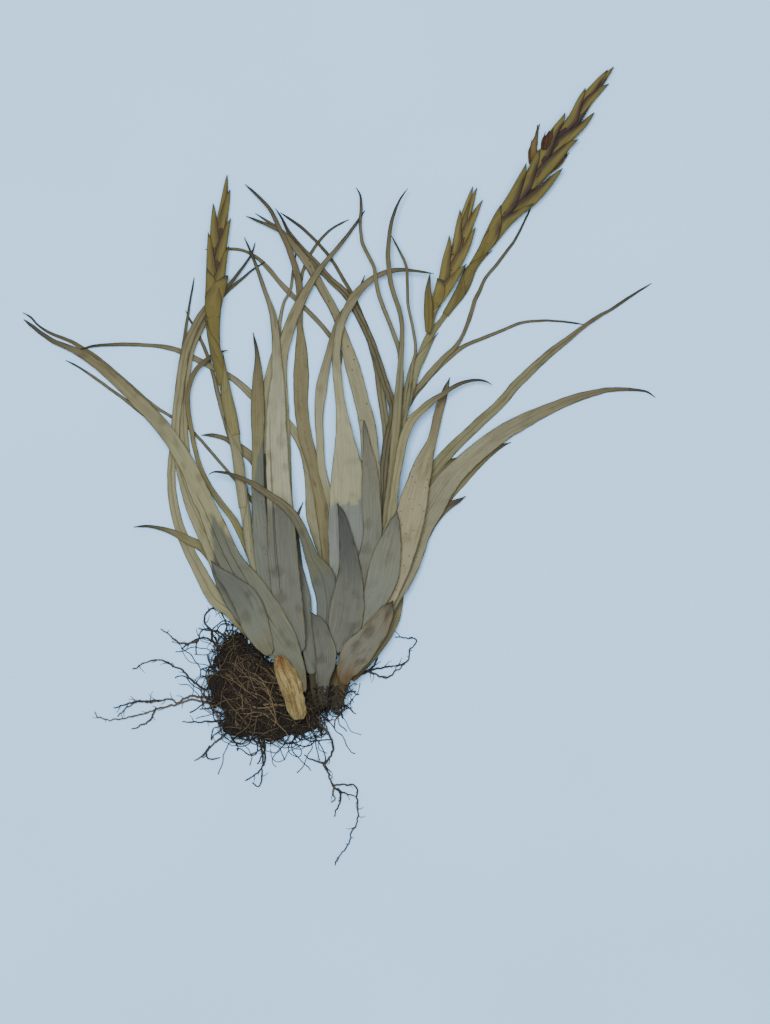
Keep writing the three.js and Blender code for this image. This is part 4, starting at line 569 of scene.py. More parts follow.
TAN = rgb(159, 155, 130)
OLIVE = rgb(124, 119, 90)
BROWN = rgb(123, 118, 95)
GREY = rgb(112, 112, 101)
PALE_GREY = rgb(137, 138, 129)
SLATE = rgb(96, 97, 90)
INK = rgb(58, 55, 48)
GOLD = rgb(124, 117, 90)
RUST = rgb(92, 76, 52)
PLUM = rgb(63, 52, 48)
HEAD = rgb(108, 99, 61)
SCAPE = rgb(144, 140, 113)
AGED = rgb(108, 99, 76)
HEAD_TIP = rgb(62, 60, 54)
ROOT = rgb(44, 36, 28)
ROOT_PALE = rgb(128, 112, 84)
WOOD = rgb(176, 158, 116)
WOOD_DARK = rgb(146, 125, 84)
RED_WOOD = rgb(118, 74, 44)
PETAL = rgb(92, 68, 48)
FLOOR = (0.435, 0.695, 0.97)  # linear colour

# The usual look of a leaf. Its grey base runs up to the spot grey_to, with an edge that is
# pointed, lobed, soft or slanting; shares go from 0 to 1, and folds are lines of painted shade
# along creases, given as (aside, slope, from, to).
LOOK = {
    "base": TAN, "upper": AGED, "upper_from": 0.5, "upper_share": 0.75,
    "grey": GREY, "grey_to": None, "grey_point": 6.0, "grey_soft": 1.6, "lobes": 0.0, "slant": 0.0,
    "tip": INK, "tip_from": 0.8, "foot": RUST, "foot_share": 0.0, "gold": 0.0, "smudge": 0.3,
    # The dark margins are partly painted shade where leaves overlap and curl; the line along the
    # middle is painted shade of the groove.
    "margin": 0.6, "edge_dark_and_shade": 0.85, "streaks": 0.15, "mottle": 0.35, "spots": 0.0, "groove_shade": 0.0,
    "folds": (), "frayed": 0.5,
}

# What differs from the usual look; a leaf that isn't named here is a plain brown one
LEAF_LOOKS = {
    "right_old_base_outer": {
        "base": rgb(90, 80, 56), "mottle": 0.8, "smudge": 0.8, "tip": RUST, "frayed": 1.6,
        "foot": INK, "foot_share": 0.8,
    },
    # very dark: partly the old base's own brown, partly painted shade of the crevice between the
    # two rosettes
    "right_old_base_inner": {"base": rgb(66, 61, 46), "mottle": 0.8, "smudge": 0.8, "frayed": 1.2},
    "leaf_right_long_arch": {"base": BROWN, "groove_shade": 0.3},
    "leaf_left_thread_sickle": {"base": BROWN, "groove_shade": 0.3},
    "leaf_left_thin_arc": {"base": BROWN, "groove_shade": 0.3},
    "leaf_right_fine_upper": {"base": BROWN, "groove_shade": 0.3},
    "leaf_right_far_arch": {"base": shade(TAN, BROWN, 0.6), "groove_shade": 0.2},
    "leaf_right_under_tongue": {"base": OLIVE},
    "leaf_right_outer_short": {"base": BROWN, "groove_shade": 0.4, "foot_share": 0.8},
    "leaf_right_upper_lance": {
        "base": rgb(124, 121, 97), "groove_shade": 0.45, "margin": 0.7, "mottle": 0.6,
    },
    "leaf_left_outer_blade": {"base": shade(TAN, OLIVE, 0.5), "groove_shade": 0.5, "foot_share": 0.5},
    "leaf_left_short_curl": {"base": OLIVE, "tip_from": 0.55},
    "leaf_left_bundle_back": {"base": shade(TAN, OLIVE, 0.6), "groove_shade": 0.5},
    "leaf_left_bundle_front": {
        "base": shade(TAN, OLIVE, 0.5), "groove_shade": 0.5, "grey_to": (-49.6, -34.2),
    },
    "leaf_left_hook_blade": {"base": OLIVE, "groove_shade": 0.3},
    "leaf_left_edge_spur": {"base": SLATE},
    "leaf_left_dark_strip": {"base": SLATE, "tip": SLATE, "edge_dark_and_shade": 0.8},
    "leaf_left_curved_thread": {"base": shade(TAN, OLIVE, 0.4)},
    "leaf_right_split_tip": {"base": shade(TAN, BROWN, 0.6)},
    "leaf_right_under_fold": {
        "base": shade(BROWN, INK, 0.15), "groove_shade": 0.6, "edge_dark_and_shade": 0.95, "margin": 0.75,
    },
    "leaf_right_dark_fold": {
        "base": shade(BROWN, INK, 0.45), "groove_shade": 0.8, "mottle": 0.8, "edge_dark_and_shade": 1.0, "margin": 0.8,
    },
    "leaf_right_spotted_blade": {
        "base": shade(TAN, BROWN, 0.5), "spots": 0.95, "grey_to": (12.5, -30.0),
    },
    "leaf_right_brown_blade": {
        "base": rgb(122, 115, 90), "mottle": 1.0, "upper": rgb(102, 92, 72), "upper_share": 0.8,
        "grey_to": (-3.5, -38.0), "spots": 0.4,
    },
    "leaf_left_centre_short": {
        "base": rgb(126, 121, 94), "grey_to": (-31.0, 4.0), "slant": -11.0, "spots": 0.4,
    },
    "leaf_left_inner_upper": {
        "base": shade(TAN, OLIVE, 0.35), "grey_to": (-20.0, -14.0), "smudge": 0.5,
    },
    "leaf_left_broad_blade": {
        "base": rgb(161, 158, 136), "grey": rgb(110, 109, 99), "grey_to": (-22.7, -13.5),
        "grey_soft": 4.5, "grey_point": 1.0, "gold": 0.3, "smudge": 0.6,
        "folds": ((2.3, 0.0, 22, 78), (3.3, -0.01, 30, 95)),
    },
    "leaf_left_sickle": {
        "base": rgb(142, 138, 112), "grey": rgb(112, 112, 98), "grey_to": (-46.2, -18.8),
        "grey_point": 13.0, "gold": 0.3, "smudge": 0.6,
        "foot": rgb(112, 104, 80), "foot_share": 0.7,
        "folds": ((1.2, 0.0, 34, 90), (-1.6, 0.0, 26, 70)),
    },
    "leaf_left_front_sheath": {
        "base": rgb(113, 114, 102), "tip": SLATE, "tip_from": 0.4, "gold": 0.35, "smudge": 0.6,
        "margin": 0.7, "upper": rgb(94, 94, 86), "upper_from": 0.3,
        "foot": rgb(106, 97, 76), "foot_share": 0.6,
    },
    "leaf_right_pale_blade": {"base": shade(TAN, BROWN, 0.35), "grey_to": (-2.5, -22.0)},
    "leaf_right_front_blade": {
        "base": rgb(157, 153, 127), "grey": PALE_GREY, "grey_to": (3.1, -12.5), "grey_soft": 0.7,
        "grey_point": 0.0, "lobes": 3.4, "smudge": 0.4,
    },
    "leaf_right_thin_b": {"base": BROWN, "groove_shade": 0.3},
    "leaf_right_lower_lance": {
        "base": rgb(135, 131, 111), "groove_shade": 0.3, "spots": 0.25, "tip_from": 0.85, "mottle": 0.55,
    },
    "leaf_right_dark_tongue": {"base": OLIVE, "tip_from": 0.6},
    "leaf_right_pointed_blade": {
        "base": rgb(150, 143, 118), "spots": 0.7, "tip_from": 0.88, "mottle": 0.7,
    },
    "leaf_right_small_arc": {"base": shade(OLIVE, TAN, 0.35), "groove_shade": 0.3, "tip_from": 0.6},
    "leaf_right_grey_sheath": {
        "base": rgb(112, 111, 101), "tip": SLATE, "smudge": 0.5, "upper_share": 0.3,
    },
    "leaf_right_old_sheath": {
        "base": rgb(114, 111, 100), "mottle": 0.8, "foot_share": 0.9, "smudge": 0.9, "gold": 0.5,
        "upper_share": 0.4,
    },
    "leaf_right_side_point": {
        "base": rgb(116, 117, 107), "tip": SLATE, "tip_from": 0.75, "gold": 0.25, "mottle": 0.5,
        "smudge": 0.4, "upper_share": 0.2,
    },
    "leaf_right_centre_point": {
        "base": rgb(103, 103, 95), "tip": rgb(70, 70, 65), "tip_from": 0.3, "margin": 0.7,
        "gold": 0.3, "mottle": 0.5, "smudge": 0.6, "upper": rgb(84, 85, 80), "upper_from": 0.35,
    },
    "leaf_right_left_arch": {
        "base": rgb(102, 101, 86), "grey": rgb(110, 111, 102), "grey_to": (-8.5, -40.0),
        "groove_shade": 0.3, "smudge": 0.5,
    },
    # its near-black foot is partly its own dark brown, partly painted shade of the crevice between
    # the two rosettes
    "between_bract": {
        "base": rgb(100, 100, 92), "tip": rgb(84, 84, 76), "tip_from": 0.6, "foot": INK,
        "foot_share": 0.95, "gold": 0.3, "smudge": 0.7, "upper_share": 0.0,
    },
}


# Solids of the frame


def solid_points(name):
    """Corners of a solid in the coordinates of the courses."""
    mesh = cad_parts[name].data
    co = np.zeros(len(mesh.vertices) * 3)
    mesh.vertices.foreach_get("co", co)
    co = co.reshape(-1, 3) / MM
    co[:, :2] += CENTRE
    return co


def strip_floor(name, course):
    """Undersides of a solid leaf as a function of the share of its length."""
    count = min(22, max(6, int(length_of(course) / STATION + 0.5) + 2))
    centres, _ = stations(course, count)
    corners = solid_points(name)
    owner = np.argmin(np.linalg.norm(corners[:, None, :2] - centres[None, :, :2], axis=2), axis=1)
    under = [corners[owner == i, 2].min() for i in range(count)]
    share = np.linspace(0, 1, count)
    return lambda u: np.interp(u, share, under)


def tree_of(name):
    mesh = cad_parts[name].data
    faces = [p.vertices[:] for p in mesh.polygons]
    return BVHTree.FromPolygons([v.co for v in mesh.vertices], faces)


def spot_at(x, y, z):
    """Place in the frame of a spot on the courses, at a height in metres."""
    return Vector(((x - CENTRE[0]) * MM, (y - CENTRE[1]) * MM, z))


def top_of(trees, x, y):
    """Height of the uppermost of some solids over a spot, in millimetres."""
    spot = spot_at(x, y, OVER_PLANT)
    hits = [tree.ray_cast(spot, Vector((0, 0, -1)))[0] for tree in trees]
    return max([hit.z / MM for hit in hits if hit is not None], default=0.0)


# Skins


class Skin:
    """Gathers rings and loose faces into one mesh with its lane and tint at every corner."""

    def __init__(self):
        self.co, self.lane, self.tint, self.faces, self.count = [], [], [], [], 0

    def add(self, co, lane, tint, faces):
        self.co.append(np.asarray(co, float).reshape(-1, 3))
        self.lane.append(np.asarray(lane, float).reshape(-1, 3))
        self.tint.append(np.asarray(tint, float).reshape(-1, 3))
        self.faces += [tuple(i + self.count for i in f) for f in faces]
        self.count += len(self.co[-1])

    def loft(self, rings, lane, tint):
        """Skin a row of equal rings and close both ends."""
        m, n = rings.shape[:2]
        faces = []
        for i in range(m - 1):
            for k in range(n):
                a, b = i * n + k, i * n + (k + 1) % n
                faces.append((a, b, b + n, a + n))
        faces.append(tuple(range(n - 1, -1, -1)))
        faces.append(tuple((m - 1) * n + k for k in range(n)))
        self.add(rings, lane, tint, faces)

    def strip(self, xy, top, low, lane, tint):
        """Skin a thin strip with an upper and a lower face."""
        upper = np.concatenate([xy, top[:, :, None]], 2)
        under = np.concatenate([xy, low[:, :, None]], 2)
        pairs = ((upper, under), (lane, lane), (tint, tint))
        self.loft(*(np.concatenate([a, b[:, ::-1]], 1) for a, b in pairs))

    def keep(self, mesh, key, kind, field, values):
        layer = mesh.attributes.new(key, kind, "POINT")
        layer.data.foreach_set(field, values.astype(np.float32).ravel())

    def build(self, node, material):
        """Make the piece that takes the place of a node."""
        name = node + "_fine"
        co = np.concatenate(self.co)
        co[:, 0] -= CENTRE[0]
        co[:, 1] -= CENTRE[1]
        mesh = bpy.data.meshes.new(name)
        mesh.from_pydata((co * MM).tolist(), [], self.faces)
        tint = np.concatenate(self.tint)
        tint = np.concatenate([tint, np.ones((len(tint), 1))], 1)
        self.keep(mesh, "lane", "FLOAT_VECTOR", "vector", np.concatenate(self.lane))
        self.keep(mesh, "tint", "FLOAT_COLOR", "color", tint)
        mesh.polygons.foreach_set("use_smooth", [True] * len(mesh.polygons))
        mesh.materials.append(material)
        mesh.update()
        piece = bpy.data.objects.new(name, mesh)
        bpy.context.scene.collection.objects.link(piece)
        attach(piece, "root")
        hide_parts(node)


# Materials


class Graph:
    """A material's nodes, each made from its type, its settings and what goes into it."""

    def __init__(self, name):
        self.material = bpy.data.materials.new(name)
        self.material.use_nodes = True
        self.nodes = self.material.node_tree.nodes
        self.links = self.material.node_tree.links
        self.nodes.clear()

    def put(self, kind, inputs, **settings):
        made = self.nodes.new(kind)
        for key, value in settings.items():
            setattr(made, key, value)
        for key, value in inputs.items():
            if isinstance(value, bpy.types.NodeSocket):
                self.links.new(value, made.inputs[key])
            else:
                made.inputs[key].default_value = value
        return made

    def math(self, operation, a, b=0.0):
        return self.put("ShaderNodeMath", {0: a, 1: b}, operation=operation).outputs[0]

    def add(self, a, b):
        return self.math("ADD", a, b)

    def times(self, a, b):
        return self.math("MULTIPLY", a, b)

    def larger(self, a, b):
        return self.math("MAXIMUM", a, b)

    def unsigned(self, a):
        return self.math("ABSOLUTE", a)

    def fit(self, value, low, high, to_low, to_high):
        """Smooth step from to_low to to_high while the value goes from low to high."""
        inputs = {"Value": value, 1: low, 2: high, 3: to_low, 4: to_high}
        return self.put("ShaderNodeMapRange", inputs, interpolation_type="SMOOTHSTEP").outputs[0]

    def surface(self):
        """Place on the piece (along, across, from the edge) and its painted colour."""
        lane = self.put("ShaderNodeAttribute", {}, attribute_name="lane").outputs["Vector"]
        tint = self.put("ShaderNodeAttribute", {}, attribute_name="tint").outputs["Color"]
        return lane, tint

    def grain(self, lane, stretch, seed, detail=3.0, rough=0.55):
        """Noise over the lane, squeezed along and across."""
        at = self.put("ShaderNodeVectorMath", {0: lane, 1: (*stretch, 0.0)}, operation="MULTIPLY")
        shift = (seed * 3.7, seed * 1.9, seed)
        moved = self.put("ShaderNodeVectorMath", {0: at.outputs[0], 1: shift})
        inputs = {"Vector": moved.outputs[0], "Scale": 1.0, "Detail": detail, "Roughness": rough}
        return self.put("ShaderNodeTexNoise", inputs).outputs["Fac"]

    def specks(self, lane, crowd, seed):
        """Distance to the nearest of many scattered points on the lane."""
        inputs = {0: lane, 1: (crowd, crowd, 0.0), 2: (seed * 2.3, seed * 1.1, 0.0)}
        at = self.put("ShaderNodeVectorMath", inputs, operation="MULTIPLY_ADD")
        inputs = {"Vector": at.outputs[0], "Scale": 1.0}
        made = self.put("ShaderNodeTexVoronoi", inputs, voronoi_dimensions="2D")
        return made.outputs["Distance"]

    def mix(self, factor, a, b, blend="MIX"):
        inputs = {0: factor, 6: a, 7: b}
        made = self.put("ShaderNodeMix", inputs, data_type="RGBA", blend_type=blend)
        return made.outputs[2]

    def scale(self, colour, factor):
        made = self.put("ShaderNodeVectorMath", {0: colour, "Scale": factor}, operation="SCALE")
        return made.outputs[0]

    def finish(self, colour, height, depth, roughness, specular):
        relief = {"Height": height, "Strength": 1.0, "Distance": depth * MM}
        bump = self.put("ShaderNodeBump", relief)
        inputs = {
            "Base Color": colour, "Roughness": roughness, "Normal": bump.outputs[0],
            "Specular IOR Level": specular,
        }
        shader = self.put("ShaderNodeBsdfPrincipled", inputs)
        self.put("ShaderNodeOutputMaterial", {"Surface": shader.outputs[0]})
        return self.material


STAIN = (0.6, 0.5, 0.41, 1.0)  # a brown stain against the blade
DARK_EDGE_AND_SHADE = (0.3, 0.26, 0.21, 1.0)  # dark margins, partly painted shade, and painted shade along the groove and creases, against the blade
SPECKS = ((0.2, 0.075, 1.0), (0.55, 0.08, 0.5))  # crowd, size and strength of two kinds of speck
SPECK_SHADE = 0.36
FOLD_SHADE_STRENGTH, FOLD_FADE = 0.75, 6  # darkness of the painted shade along creases, and length in millimetres over which it fades


def leaf_material(name, seed, margin, edge_dark_and_shade, streaks, mottle, spots=0.0, groove_shade=0.0, folds=()):
    """Dried blade: veins lengthwise, dark margins that are partly painted shade, stains, painted
    shade along the groove and creases, and pale scurf.
    """
    g = Graph(name)
    lane, tint = g.surface()
    parts = g.put("ShaderNodeSeparateXYZ", {0: lane}).outputs
    veins = g.grain(lane, (0.05, 3.2), seed)
    fine = g.grain(lane, (0.09, 6.5), seed + 3, 2.0)
    stain = g.grain(lane, (0.11, 0.35), seed + 7, 4.0)
    scurf = g.grain(lane, (2.6, 3.4), seed + 11, 3.0, 0.7)
    tone = g.fit(veins, 0.3, 0.7, 1 - streaks, 1 + streaks)
    tone = g.add(tone, g.fit(fine, 0.3, 0.7, -0.1, 0.1))
    tone = g.add(tone, g.fit(scurf, 0.3, 0.75, -0.1, 0.13))
    colour = g.scale(tint, tone)
    brown = g.mix(1.0, tint, STAIN, "MULTIPLY")
    colour = g.mix(g.fit(stain, 0.52, 0.75, 0.0, mottle), colour, brown)
    if spots:
        for crowd, size, share in SPECKS:
            dots = g.specks(lane, crowd, seed + crowd * 10)
            cover = g.fit(dots, size * 0.6, size * 1.2, spots * share, 0.0)
            colour = g.mix(cover, colour, g.scale(tint, SPECK_SHADE))
    # dark margins: partly the blade's own dark edge, partly painted shade where leaves overlap and
    # the margins curl
    wave = g.grain(lane, (0.25, 0.0), seed + 23, 2.0)
    near = g.times(parts[2], g.fit(wave, 0.3, 0.7, 1.5, 0.75))
    patch = g.grain(lane, (0.13, 0.05), seed + 29, 2.0)
    dark = g.fit(near, 0.08, margin, edge_dark_and_shade, 0.0)
    dark = g.times(dark, g.fit(patch, 0.36, 0.6, 0.4, 1.0))
    # painted shade of the groove along the middle of the blade
    if groove_shade:
        bent = g.add(parts[1], g.fit(wave, 0.2, 0.8, -0.15, 0.15))
        dark = g.larger(dark, g.fit(g.unsigned(bent), 0.05, 0.4, groove_shade, 0.0))
    # lines of painted shade along creases
    for offset, slope, first, last in folds:
        line = g.add(parts[1], g.times(parts[0], -slope))
        bent = g.add(line, g.fit(wave, 0.2, 0.8, -offset - 0.12, -offset + 0.12))
        fold_shade = g.fit(g.unsigned(bent), 0.06, 0.3, FOLD_SHADE_STRENGTH, 0.0)
        begin = g.fit(parts[0], first, first + FOLD_FADE, 0.0, 1.0)
        stop = g.fit(parts[0], last - FOLD_FADE, last, 1.0, 0.0)
        dark = g.larger(dark, g.times(fold_shade, g.times(begin, stop)))
    colour = g.mix(dark, colour, g.mix(1.0, tint, DARK_EDGE_AND_SHADE, "MULTIPLY"))
    height = g.add(veins, g.times(fine, 0.5))
    rough = g.fit(scurf, 0.3, 0.7, 0.72, 0.95)
    return g.finish(colour, height, 0.09, rough, 0.2)


def root_material(name, seed):
    """Wiry root: brown bark with rings and pale worn flecks."""
    g = Graph(name)
    lane, tint = g.surface()
    bark = g.grain(lane, (1.1, 0.7), seed, 4.0)
    worn = g.grain(lane, (0.35, 0.2), seed + 5, 2.0)
    tone = g.add(g.fit(bark, 0.3, 0.7, 0.6, 1.4), g.fit(worn, 0.55, 0.8, 0.0, 0.5))
    return g.finish(g.scale(tint, tone), bark, 0.15, g.fit(bark, 0.3, 0.7, 0.65, 0.9), 0.3)


def wood_material(name, seed):
    """Dead stump: coarse pale fibres with painted shade in the cracks between them."""
    g = Graph(name)
    lane, tint = g.surface()
    fibre = g.grain(lane, (0.16, 2.2), seed, 4.0, 0.65)
    crack_shade = g.grain(lane, (0.1, 1.1), seed + 5, 2.0)
    pith = g.grain(lane, (0.9, 0.9), seed + 9, 4.0, 0.7)
    tone = g.add(g.fit(fibre, 0.3, 0.7, 0.8, 1.15), g.fit(pith, 0.3, 0.7, -0.16, 0.16))
    colour = g.scale(tint, tone)
    # painted shade in the cracks between the fibres
    colour = g.mix(g.fit(crack_shade, 0.6, 0.72, 0.0, 0.3), colour, g.scale(tint, 0.45))
    rough = g.fit(pith, 0.3, 0.7, 0.75, 0.95)
    return g.finish(colour, g.add(fibre, pith), 0.5, rough, 0.15)


def floor_material():
    """Smooth pale sheet with a faint tooth."""
    g = Graph("floor")
    at = g.put("ShaderNodeTexCoord", {}).outputs["Object"]
    tooth, cloud = (
        g.put("ShaderNodeTexNoise", {"Vector": at, "Scale": scale, "Detail": detail}).outputs["Fac"]
        for scale, detail in ((900.0, 3.0), (9.0, 2.0))
    )
    tone = g.fit(tooth, 0.3, 0.7, 0.985, 1.015)
    tone = g.times(tone, g.fit(cloud, 0.3, 0.7, 0.98, 1.02))
    return g.finish(g.scale(FLOOR, tone), tooth, 0.02, 0.95, 0.1)


# Leaves

HALF_BLADE = (0.09, 0.28, 0.5, 0.7, 0.86, 0.96, 1.0)
ACROSS = (*HALF_BLADE[::-1], *(-v for v in HALF_BLADE))  # places across a blade, from left to right
LEAF_STEP = 1.1  # spacing of the rings of a leaf
LEAF_LIFT = 0.16  # of a fine leaf over the underside of its solid
THIN_EDGE = 0.06  # by which the margins sink
LEAST_HALF = 0.13  # half the width of the finest tip
TIP_RUN = 3.5  # length over which a leaf closes to its tip
FRAY_RUN = 7.0  # length over which the torn foot evens out
FOOT_RUN = 14.0  # length of the dark foot
WARM = np.array([1.1, 1.08, 1.02])  # the palest tint of a blade against its base colour
SMUDGE = np.array([0.6, 0.58, 0.55])  # a smudge against the blade


def paint(p, length, look, seed):
    """Tint at every station and every place across a leaf."""
    n = len(p)
    u = np.linspace(0, 1, n)[:, None]
    s = u * length
    v = np.array(ACROSS)[None, :]
    drift = wander(s[:, 0], seed, 21.0)[:, None]
    base = shade(look["base"], look["base"] * WARM, np.broadcast_to(0.5 + drift, (n, v.size)))
    rag = patches(s[:, 0], ACROSS, 9.0, 2.2, seed)
    aged = ease(u + 0.1 * rag, look["upper_from"], look["upper_from"] + 0.35) * look["upper_share"]
    base = shade(base, look["upper"], aged)
    blot = patches(s[:, 0], ACROSS, 5.0, 1.3, seed + 20)
    cover = np.zeros((n, v.size))
    if look["grey_to"] is not None:
        limit = nearest(p, look["grey_to"]) / (n - 1) * length
        lobes = look["lobes"] * (0.5 - 0.5 * np.cos(v * 3 * np.pi + 0.6))
        point = look["grey_point"] * np.abs(v) ** 1.4 + lobes
        reach = s + point + 4.0 * rag - look["slant"] * v
        cover = 1 - ease(reach, limit - look["grey_soft"], limit + look["grey_soft"])
        upward = ease(s, limit * 0.5, limit) * np.ones_like(v)
        silver = shade(look["grey"], look["grey"] * 0.82, upward)
        base = shade(base, silver, cover)
    else:
        cover[:] = 1 if look["gold"] else 0
    base = shade(base, base * SMUDGE, ease(blot + 0.2 * rag, 0.12, 0.5) * look["smudge"])
    rim = ease(np.abs(v) + 0.35 * rag, 0.72, 1.0) * cover * look["gold"]
    base = shade(base, GOLD, rim)
    fade = ease(u + 0.05 * rag, look["tip_from"], 1.0) ** 1.5
    base = shade(base, look["tip"], fade * 0.85)
    foot = 1 - ease(s + 5 * rag, 0.0, FOOT_RUN)
    return shade(base, look["foot"], foot * look["foot_share"])


def leaf(name, course, look, seed):
    """One thin dried leaf, channelled where narrow and clasping where broad."""
    count = max(24, int(length_of(course) / LEAF_STEP))
    p, length = stations(course, count)
    u = np.linspace(0, 1, count)
    s = u * length
    floor = strip_floor(name, course)
    lie = np.convolve(np.pad(floor(u), 3, mode="edge"), np.ones(7) / 7, mode="valid")
    half = p[:, 2] / 2 * (1 + 0.05 * wander(s, seed, 7.0) + 0.03 * wander(s, seed + 50, 2.1))
    half *= np.clip((length - s) / TIP_RUN, 0.0, 1.0) ** 0.55
    half = np.maximum(half, LEAST_HALF)
    v = np.array(ACROSS)
    narrow = (1 - ease(half, 1.4, 3.4))[:, None]
    thick = (0.3 + 0.12 * (1 - u))[:, None]
    curl = 0.2 * np.abs(v) ** 2.4 * narrow + 0.07 * (1 - narrow) * (1 - v**2) * (1 - u[:, None])
    crease = -0.13 * np.exp(-((v * half[:, None] / 0.4) ** 2)) * narrow
    folds = patches(s, ACROSS, 16.0, 1.7, seed + 9)
    top = lie[:, None] + LEAF_LIFT + thick + curl + crease + 0.12 * folds * (1 - narrow)
    low = top - thick * (0.45 + 0.55 * np.sqrt(1 - np.abs(v) ** 6))
    top = np.where(np.abs(v) > 0.99, top - THIN_EDGE, top)
    side = sideways(p)
    across = v * half[:, None]
    wobble = 0.1 * wander(s, seed + 31, 3.3)
    xy = p[:, None, :2] + side[:, None, :] * (across + wobble[:, None])[:, :, None]
    frays = np.array([noise.noise(Vector((b * 5.0, seed * 3.0, 1.0))) for b in ACROSS])
    end = half[0] * (1 - np.sqrt(1 - 0.94 * v**2)) + look["frayed"] * (1 + 1.4 * frays)
    ahead = np.stack([side[:, 1], -side[:, 0]], 1)
    xy = xy + ahead[:, None, :] * (end * (1 - ease(s, 0, FRAY_RUN))[:, None])[:, :, None]
    edge = np.maximum(half[:, None] - np.abs(across), 0.0)
    lane = np.stack([np.broadcast_to(s[:, None], across.shape), across, edge], 2)
    skin = Skin()
    skin.strip(xy, top, low, lane, paint(p, length, look, seed))
    keys = ("margin", "edge_dark_and_shade", "streaks", "mottle", "spots", "groove_shade", "folds")
    skin.build(name, leaf_material(name, seed, **{key: look[key] for key in keys}))


# Stems and flower heads


def rod(skin, p, low, tall, sides, tint, seed, rough):
    """Flattened round stem with its lowest line at the heights given."""
    a = 2 * np.pi * (np.arange(sides) + 0.5) / sides + np.pi / 2
    side = sideways(p)
    run = run_along(p)
    round_about = [(math.cos(t) * 1.3, seed + math.sin(t) * 1.3) for t in a]
    bump = [[noise.noise(Vector((s / 3.0, *spot))) for spot in round_about] for s in run]
    grow = 1 + rough * np.array(bump)
    across = np.cos(a) * p[:, 2, None] / 2 * grow
    up = low[:, None] + tall[:, None] / 2 * (1 + np.sin(a) * grow)
    xy = p[:, None, :2] + side[:, None, :] * across[:, :, None]
    far_from_edge = np.full(across.shape, 2.0)
    along = np.broadcast_to(run[:, None], across.shape)
    lane = np.stack([along, a * p[:, 2, None] / 2, far_from_edge], 2)
    tints = np.broadcast_to(np.asarray(tint), (len(p), sides, 3)) if np.ndim(tint) == 1 else tint
    skin.loft(np.concatenate([xy, up[:, :, None]], 2), lane, tints)


class Axis:
    """A stem's line, with the underside of its solid at every place along it.

    Points ahead lead up to the line's own first point, which lies at the run called first.
    """

    def __init__(self, points, solid, ahead=()):
        self.p, self.length = stations([*ahead, *points], AXIS_STEPS)
        self.first = length_of([*ahead, points[0]]) if len(ahead) else 0.0
        self.run = np.linspace(0, self.length, AXIS_STEPS)
        self.side = sideways(self.p)
        tree = tree_of(solid)
        lows = []
        for x, y in self.p[:, :2]:
            hit = tree.ray_cast(spot_at(x, y, UNDER_FLOOR), Vector((0, 0, 1)))[0]
            lows.append(hit.z / MM if hit is not None else np.nan)
        lows = np.array(lows)
        known = ~np.isnan(lows)
        self.low = np.interp(self.run, self.run[known], lows[known])

    def place(self, s):
        """Points, left-hand vectors and undersides at runs s."""
        xy = np.column_stack([np.interp(s, self.run, self.p[:, d]) for d in (0, 1)])
        left = np.column_stack([np.interp(s, self.run, self.side[:, d]) for d in (0, 1)])
        left /= np.linalg.norm(left, axis=1, keepdims=True)
        return xy, left, np.interp(s, self.run, self.low)


BRACT_RINGS, BRACT_CROSS = 40, 9  # stations along a bract, and places across it
BRACT_SHELL = 0.28  # thickness
# Width and height of a bract at some distances below its tip, as shares of the full size
BRACT_WIDTH = ([0, 3, 6.5, 12, 17, 26], [0.03, 0.32, 0.56, 0.8, 1.0, 1.15])
BRACT_HEIGHT = ([0, 3, 8, 14, 24], [0.7, 1.04, 0.98, 0.82, 0.62])


def bract_tint(size, s, below, plum, v, seed):
    """Colours across a bract: pale along the keel, purple inside and dark at the tip."""
    stripe = 0.5 + 0.5 * noise.noise(Vector((s / 6.0, seed * 2.0, 5.0)))
    pale = ease(1 - v, 0.2, 0.75) * (0.25 + 0.5 * stripe)
    tint = shade(size["colour"], size["colour"] * 1.3, pale)
    purple = ease(v, 0.4, 0.85) * plum * (0.8 + 0.3 * stripe) * size["plum"]
    tint = shade(tint, PLUM, np.minimum(purple, 1.0))
    return shade(tint, HEAD_TIP, (1 - ease(below + 1.2 * (1 - v), 0.8, 4.2)) * 0.9)


